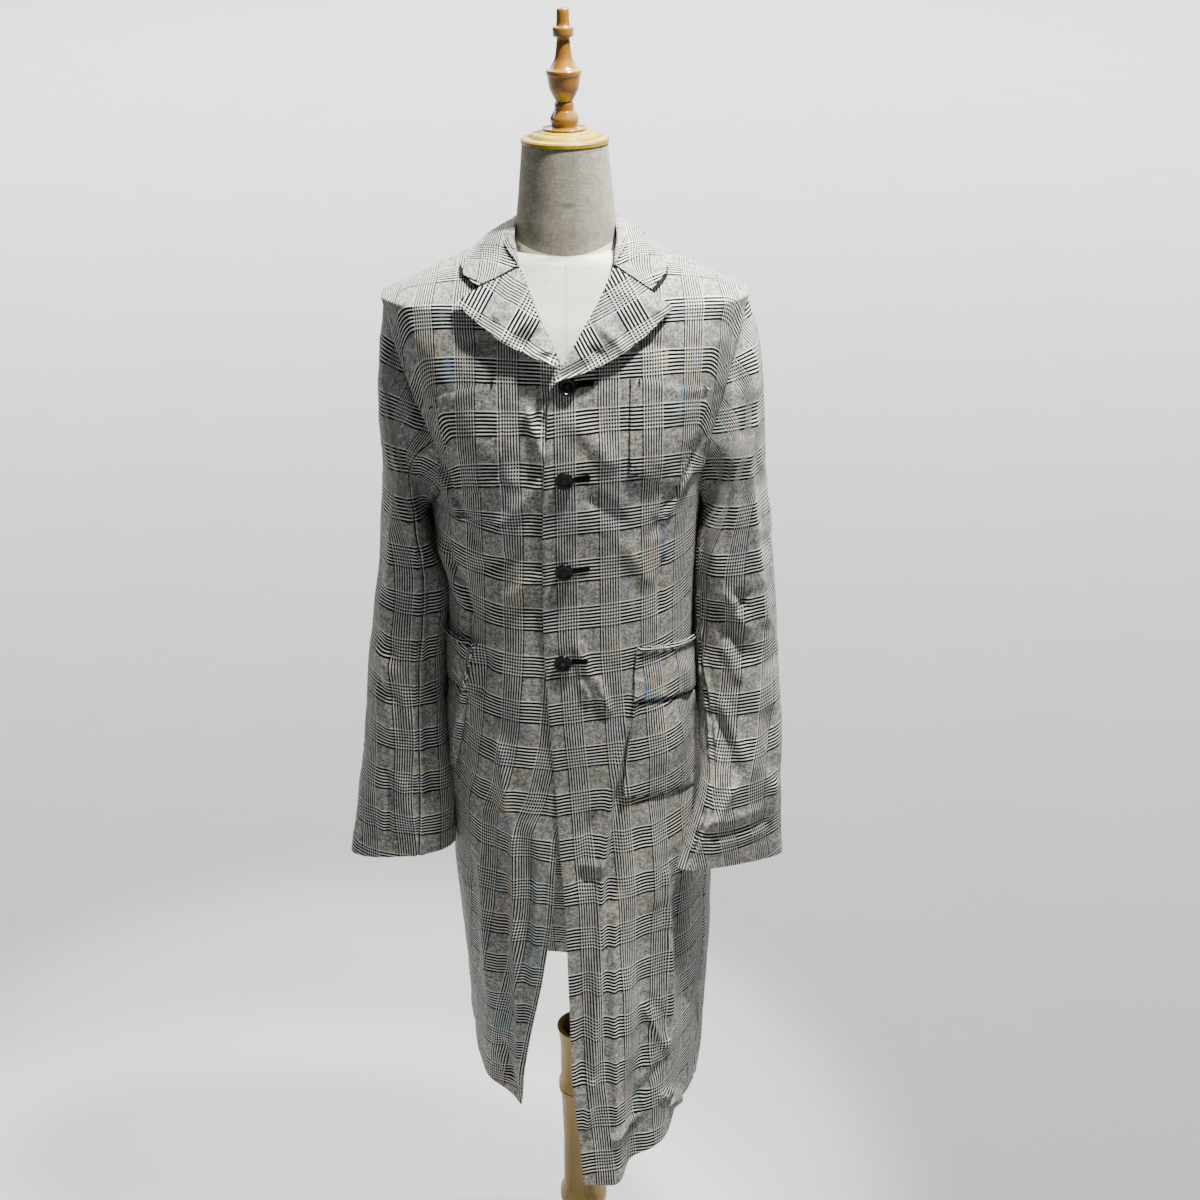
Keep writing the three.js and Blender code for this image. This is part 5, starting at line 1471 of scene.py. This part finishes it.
def buttonhole(x, z):
    """Stitches along both sides of a slanting slit, and round its outer end."""
    items = []
    slant = math.radians(8)
    start = np.array([x + 10.5, z + 1.2])
    reach = np.array([math.cos(slant), math.sin(slant)])
    for k in range(19):
        place_x, place_z = start + reach * (k * 0.86)
        p, normal, _, up = fronts[1].spot(place_x, place_z)
        across = unit(up - normal * (up @ normal))
        for way in (-1, 1):
            wobble = rng.uniform(-0.15, 0.15)
            middle = p + across * way * (1.7 + wobble) + normal * 0.3
            items.append((middle, across, normal, 2.1, 0.56, 0.7))
    for k in range(11):
        swing = math.radians(-100 + 20 * k)
        aim_x = reach[0] * math.cos(swing) - reach[1] * math.sin(swing)
        aim_z = reach[1] * math.cos(swing) + reach[0] * math.sin(swing)
        along = unit(np.array([aim_x, 0, aim_z]))
        along = unit(along - normal * (along @ normal))
        items.append((p + along * 2.1 + normal * 0.3, along, normal, 1.9, 0.56, 0.7))
    return items


def button_thread(x, z):
    """Threads across a button's face, where a four-hole button is stitched; the holes are not modelled.
    """
    p, normal, right, _ = fronts[1].spot(x, z)
    side_way = unit(right - normal * (right @ normal))
    above = np.cross(normal, side_way)
    top = p + normal * 2.9
    items = []
    for away in (-1.6, -1.1, 1.6, 1.1):
        items.append((top + above * away, side_way, normal, 2.5, 0.42, 0.4))
    return items


holes = [item for x, z in BUTTONS for item in buttonhole(x, z)]
strands("buttonholes", holes, MATERIALS["thread"])
threads = [item for x, z in BUTTONS for item in button_thread(x, z)]
strands("button_threads", threads, MATERIALS["grey_thread"])
hems = hem_stitches(fronts[1], HEM_FOLD) + hem_stitches(fronts[-1], HEM_FOLD)
hems += hem_stitches(back_cloth, HEM_FOLD) + hem_stitches(back_cloth, HEM_INSIDE, True)
hems += [item for cloth in sleeve_cloths for item in hem_stitches(cloth, HEM_INSIDE)]
strands("hem_stitches", hems, MATERIALS["grey_thread"])

# Stitched lines in the front view: side, pitch, half length of a stitch and places
FRONT_LINES = [
    (-1, 5, 1.3, [(-26, 855), (-46, 745), (-66, 636), (-52, 640)]),
    (-1, 3.2, 1.4, [(-147, 1226), (-140, 1195), (-127, 1176), (-119, 1139), (-121, 1108)]),
    (1, 3.2, 1.4, [(106, 1240), (101, 1184), (102, 1112)]),
]
lines = []
for side, pitch, half, places in FRONT_LINES:
    lines += sewn(*seen_line(fronts[side], places), pitch, half)

# Tacks at the pockets' corners, by their two ends
TACKS = {
    1: [(76, 1428, 77, 1420), (147, 1411, 152, 1403), (65, 1337, 66, 1331), (71, 1321, 75, 1318)],
    -1: [(-84, 1428, -83, 1420), (-150, 1392, -155, 1387), (-111, 1110, -112, 1105)],
}
for side, rows in TACKS.items():
    for x0, z0, x1, z1 in rows:
        (p, normal, *_), (q, *_) = fronts[side].spot(x0, z0), fronts[side].spot(x1, z1)
        middle, along = (p + q) / 2 + normal * (PATCH_LIFT + PATCH_CLOTH + 1.2), unit(q - p)
        beside = np.cross(normal, along)
        half = np.linalg.norm(q - p) / 2
        lines += [(middle + beside * away, along, normal, half, 0.4, 0.4) for away in (-0.5, 0, 0.5)]

# The stitched border of the pockets, as shares of their width and height
POCKET_BORDER = [(0.06, 0.94), (0.06, 0.08), (0.94, 0.08), (0.94, 0.94)]
for node, cloth in patch_cloths.items():
    if "welt" not in node:
        lines += sewn(*grid_line(cloth, POCKET_BORDER), 4.2, 1.3, 0.22)
strands("stitched_lines", lines, MATERIALS["thread"])

# Floor, light and camera

FLOOR_HALF = 90
floor_corners = [(x * FLOOR_HALF, y * FLOOR_HALF, 0) for x, y in ((-1, -1), (1, -1), (1, 1), (-1, 1))]
floor_paint = plain_material("floor_paint", (0.80, 0.80, 0.80), (0.84, 0.84, 0.84), 3, 0.8)
floor = mesh_object("floor", floor_corners, [[0, 1, 2, 3]], None, floor_paint, False)

world = bpy.data.worlds.new("studio")
bpy.context.scene.world = world
world.use_nodes = True
background = world.node_tree.nodes["Background"]
background.inputs["Color"].default_value = (0.92, 0.96, 1.0, 1)
background.inputs["Strength"].default_value = 0.1


def aim(light, location, target):
    """Puts a light at a place in metres, facing a target."""
    obj = bpy.data.objects.new(light.name, light)
    obj.location = location
    obj.rotation_euler = (Vector(target) - Vector(location)).to_track_quat("-Z", "Y").to_euler()
    bpy.context.scene.collection.objects.link(obj)


SPOT_DEGREES = 36


def spot_light(name, location, target, power_watts, colour):
    light = bpy.data.lights.new(name, "SPOT")
    light.spot_size = math.radians(SPOT_DEGREES)
    light.spot_blend = 0.5
    light.shadow_soft_size = 0.07
    light.energy = power_watts
    light.color = colour
    aim(light, location, target)


spot_light("ceiling", (0.42, 0.16, 2.8), (0, 0, 1.5), 270, (1.0, 0.985, 0.94))
spot_light("key", (0.44, -0.27, 2.8), (0, 0, 1.2), 300, (1.0, 0.98, 0.93))
backdrop_light = bpy.data.lights.new("backdrop", "AREA")
backdrop_light.shape = "RECTANGLE"
backdrop_light.size = 26
backdrop_light.size_y = 28
backdrop_light.energy = 9000
aim(backdrop_light, (0, 17.5, 7), (0, 17.5, 0))

# The camera that was fitted to the photo
PHOTO_SIZE = 1200
FOCAL_PIXELS = 1733
SENSOR = 36
PITCH_DEGREES = 66
ROLL = -0.00927
CAMERA_PLACE = (0.0315, -1.946, 1.977)
camera_data = bpy.data.cameras.new("camera")
camera_data.sensor_width = SENSOR
camera_data.sensor_fit = "HORIZONTAL"
camera_data.lens = SENSOR * FOCAL_PIXELS / PHOTO_SIZE
camera = bpy.data.objects.new("camera", camera_data)
tilt = Matrix.Rotation(math.radians(PITCH_DEGREES), 4, "X") @ Matrix.Rotation(ROLL, 4, "Z")
camera.matrix_world = Matrix.Translation(CAMERA_PLACE) @ tilt
bpy.context.scene.collection.objects.link(camera)
bpy.context.scene.camera = camera
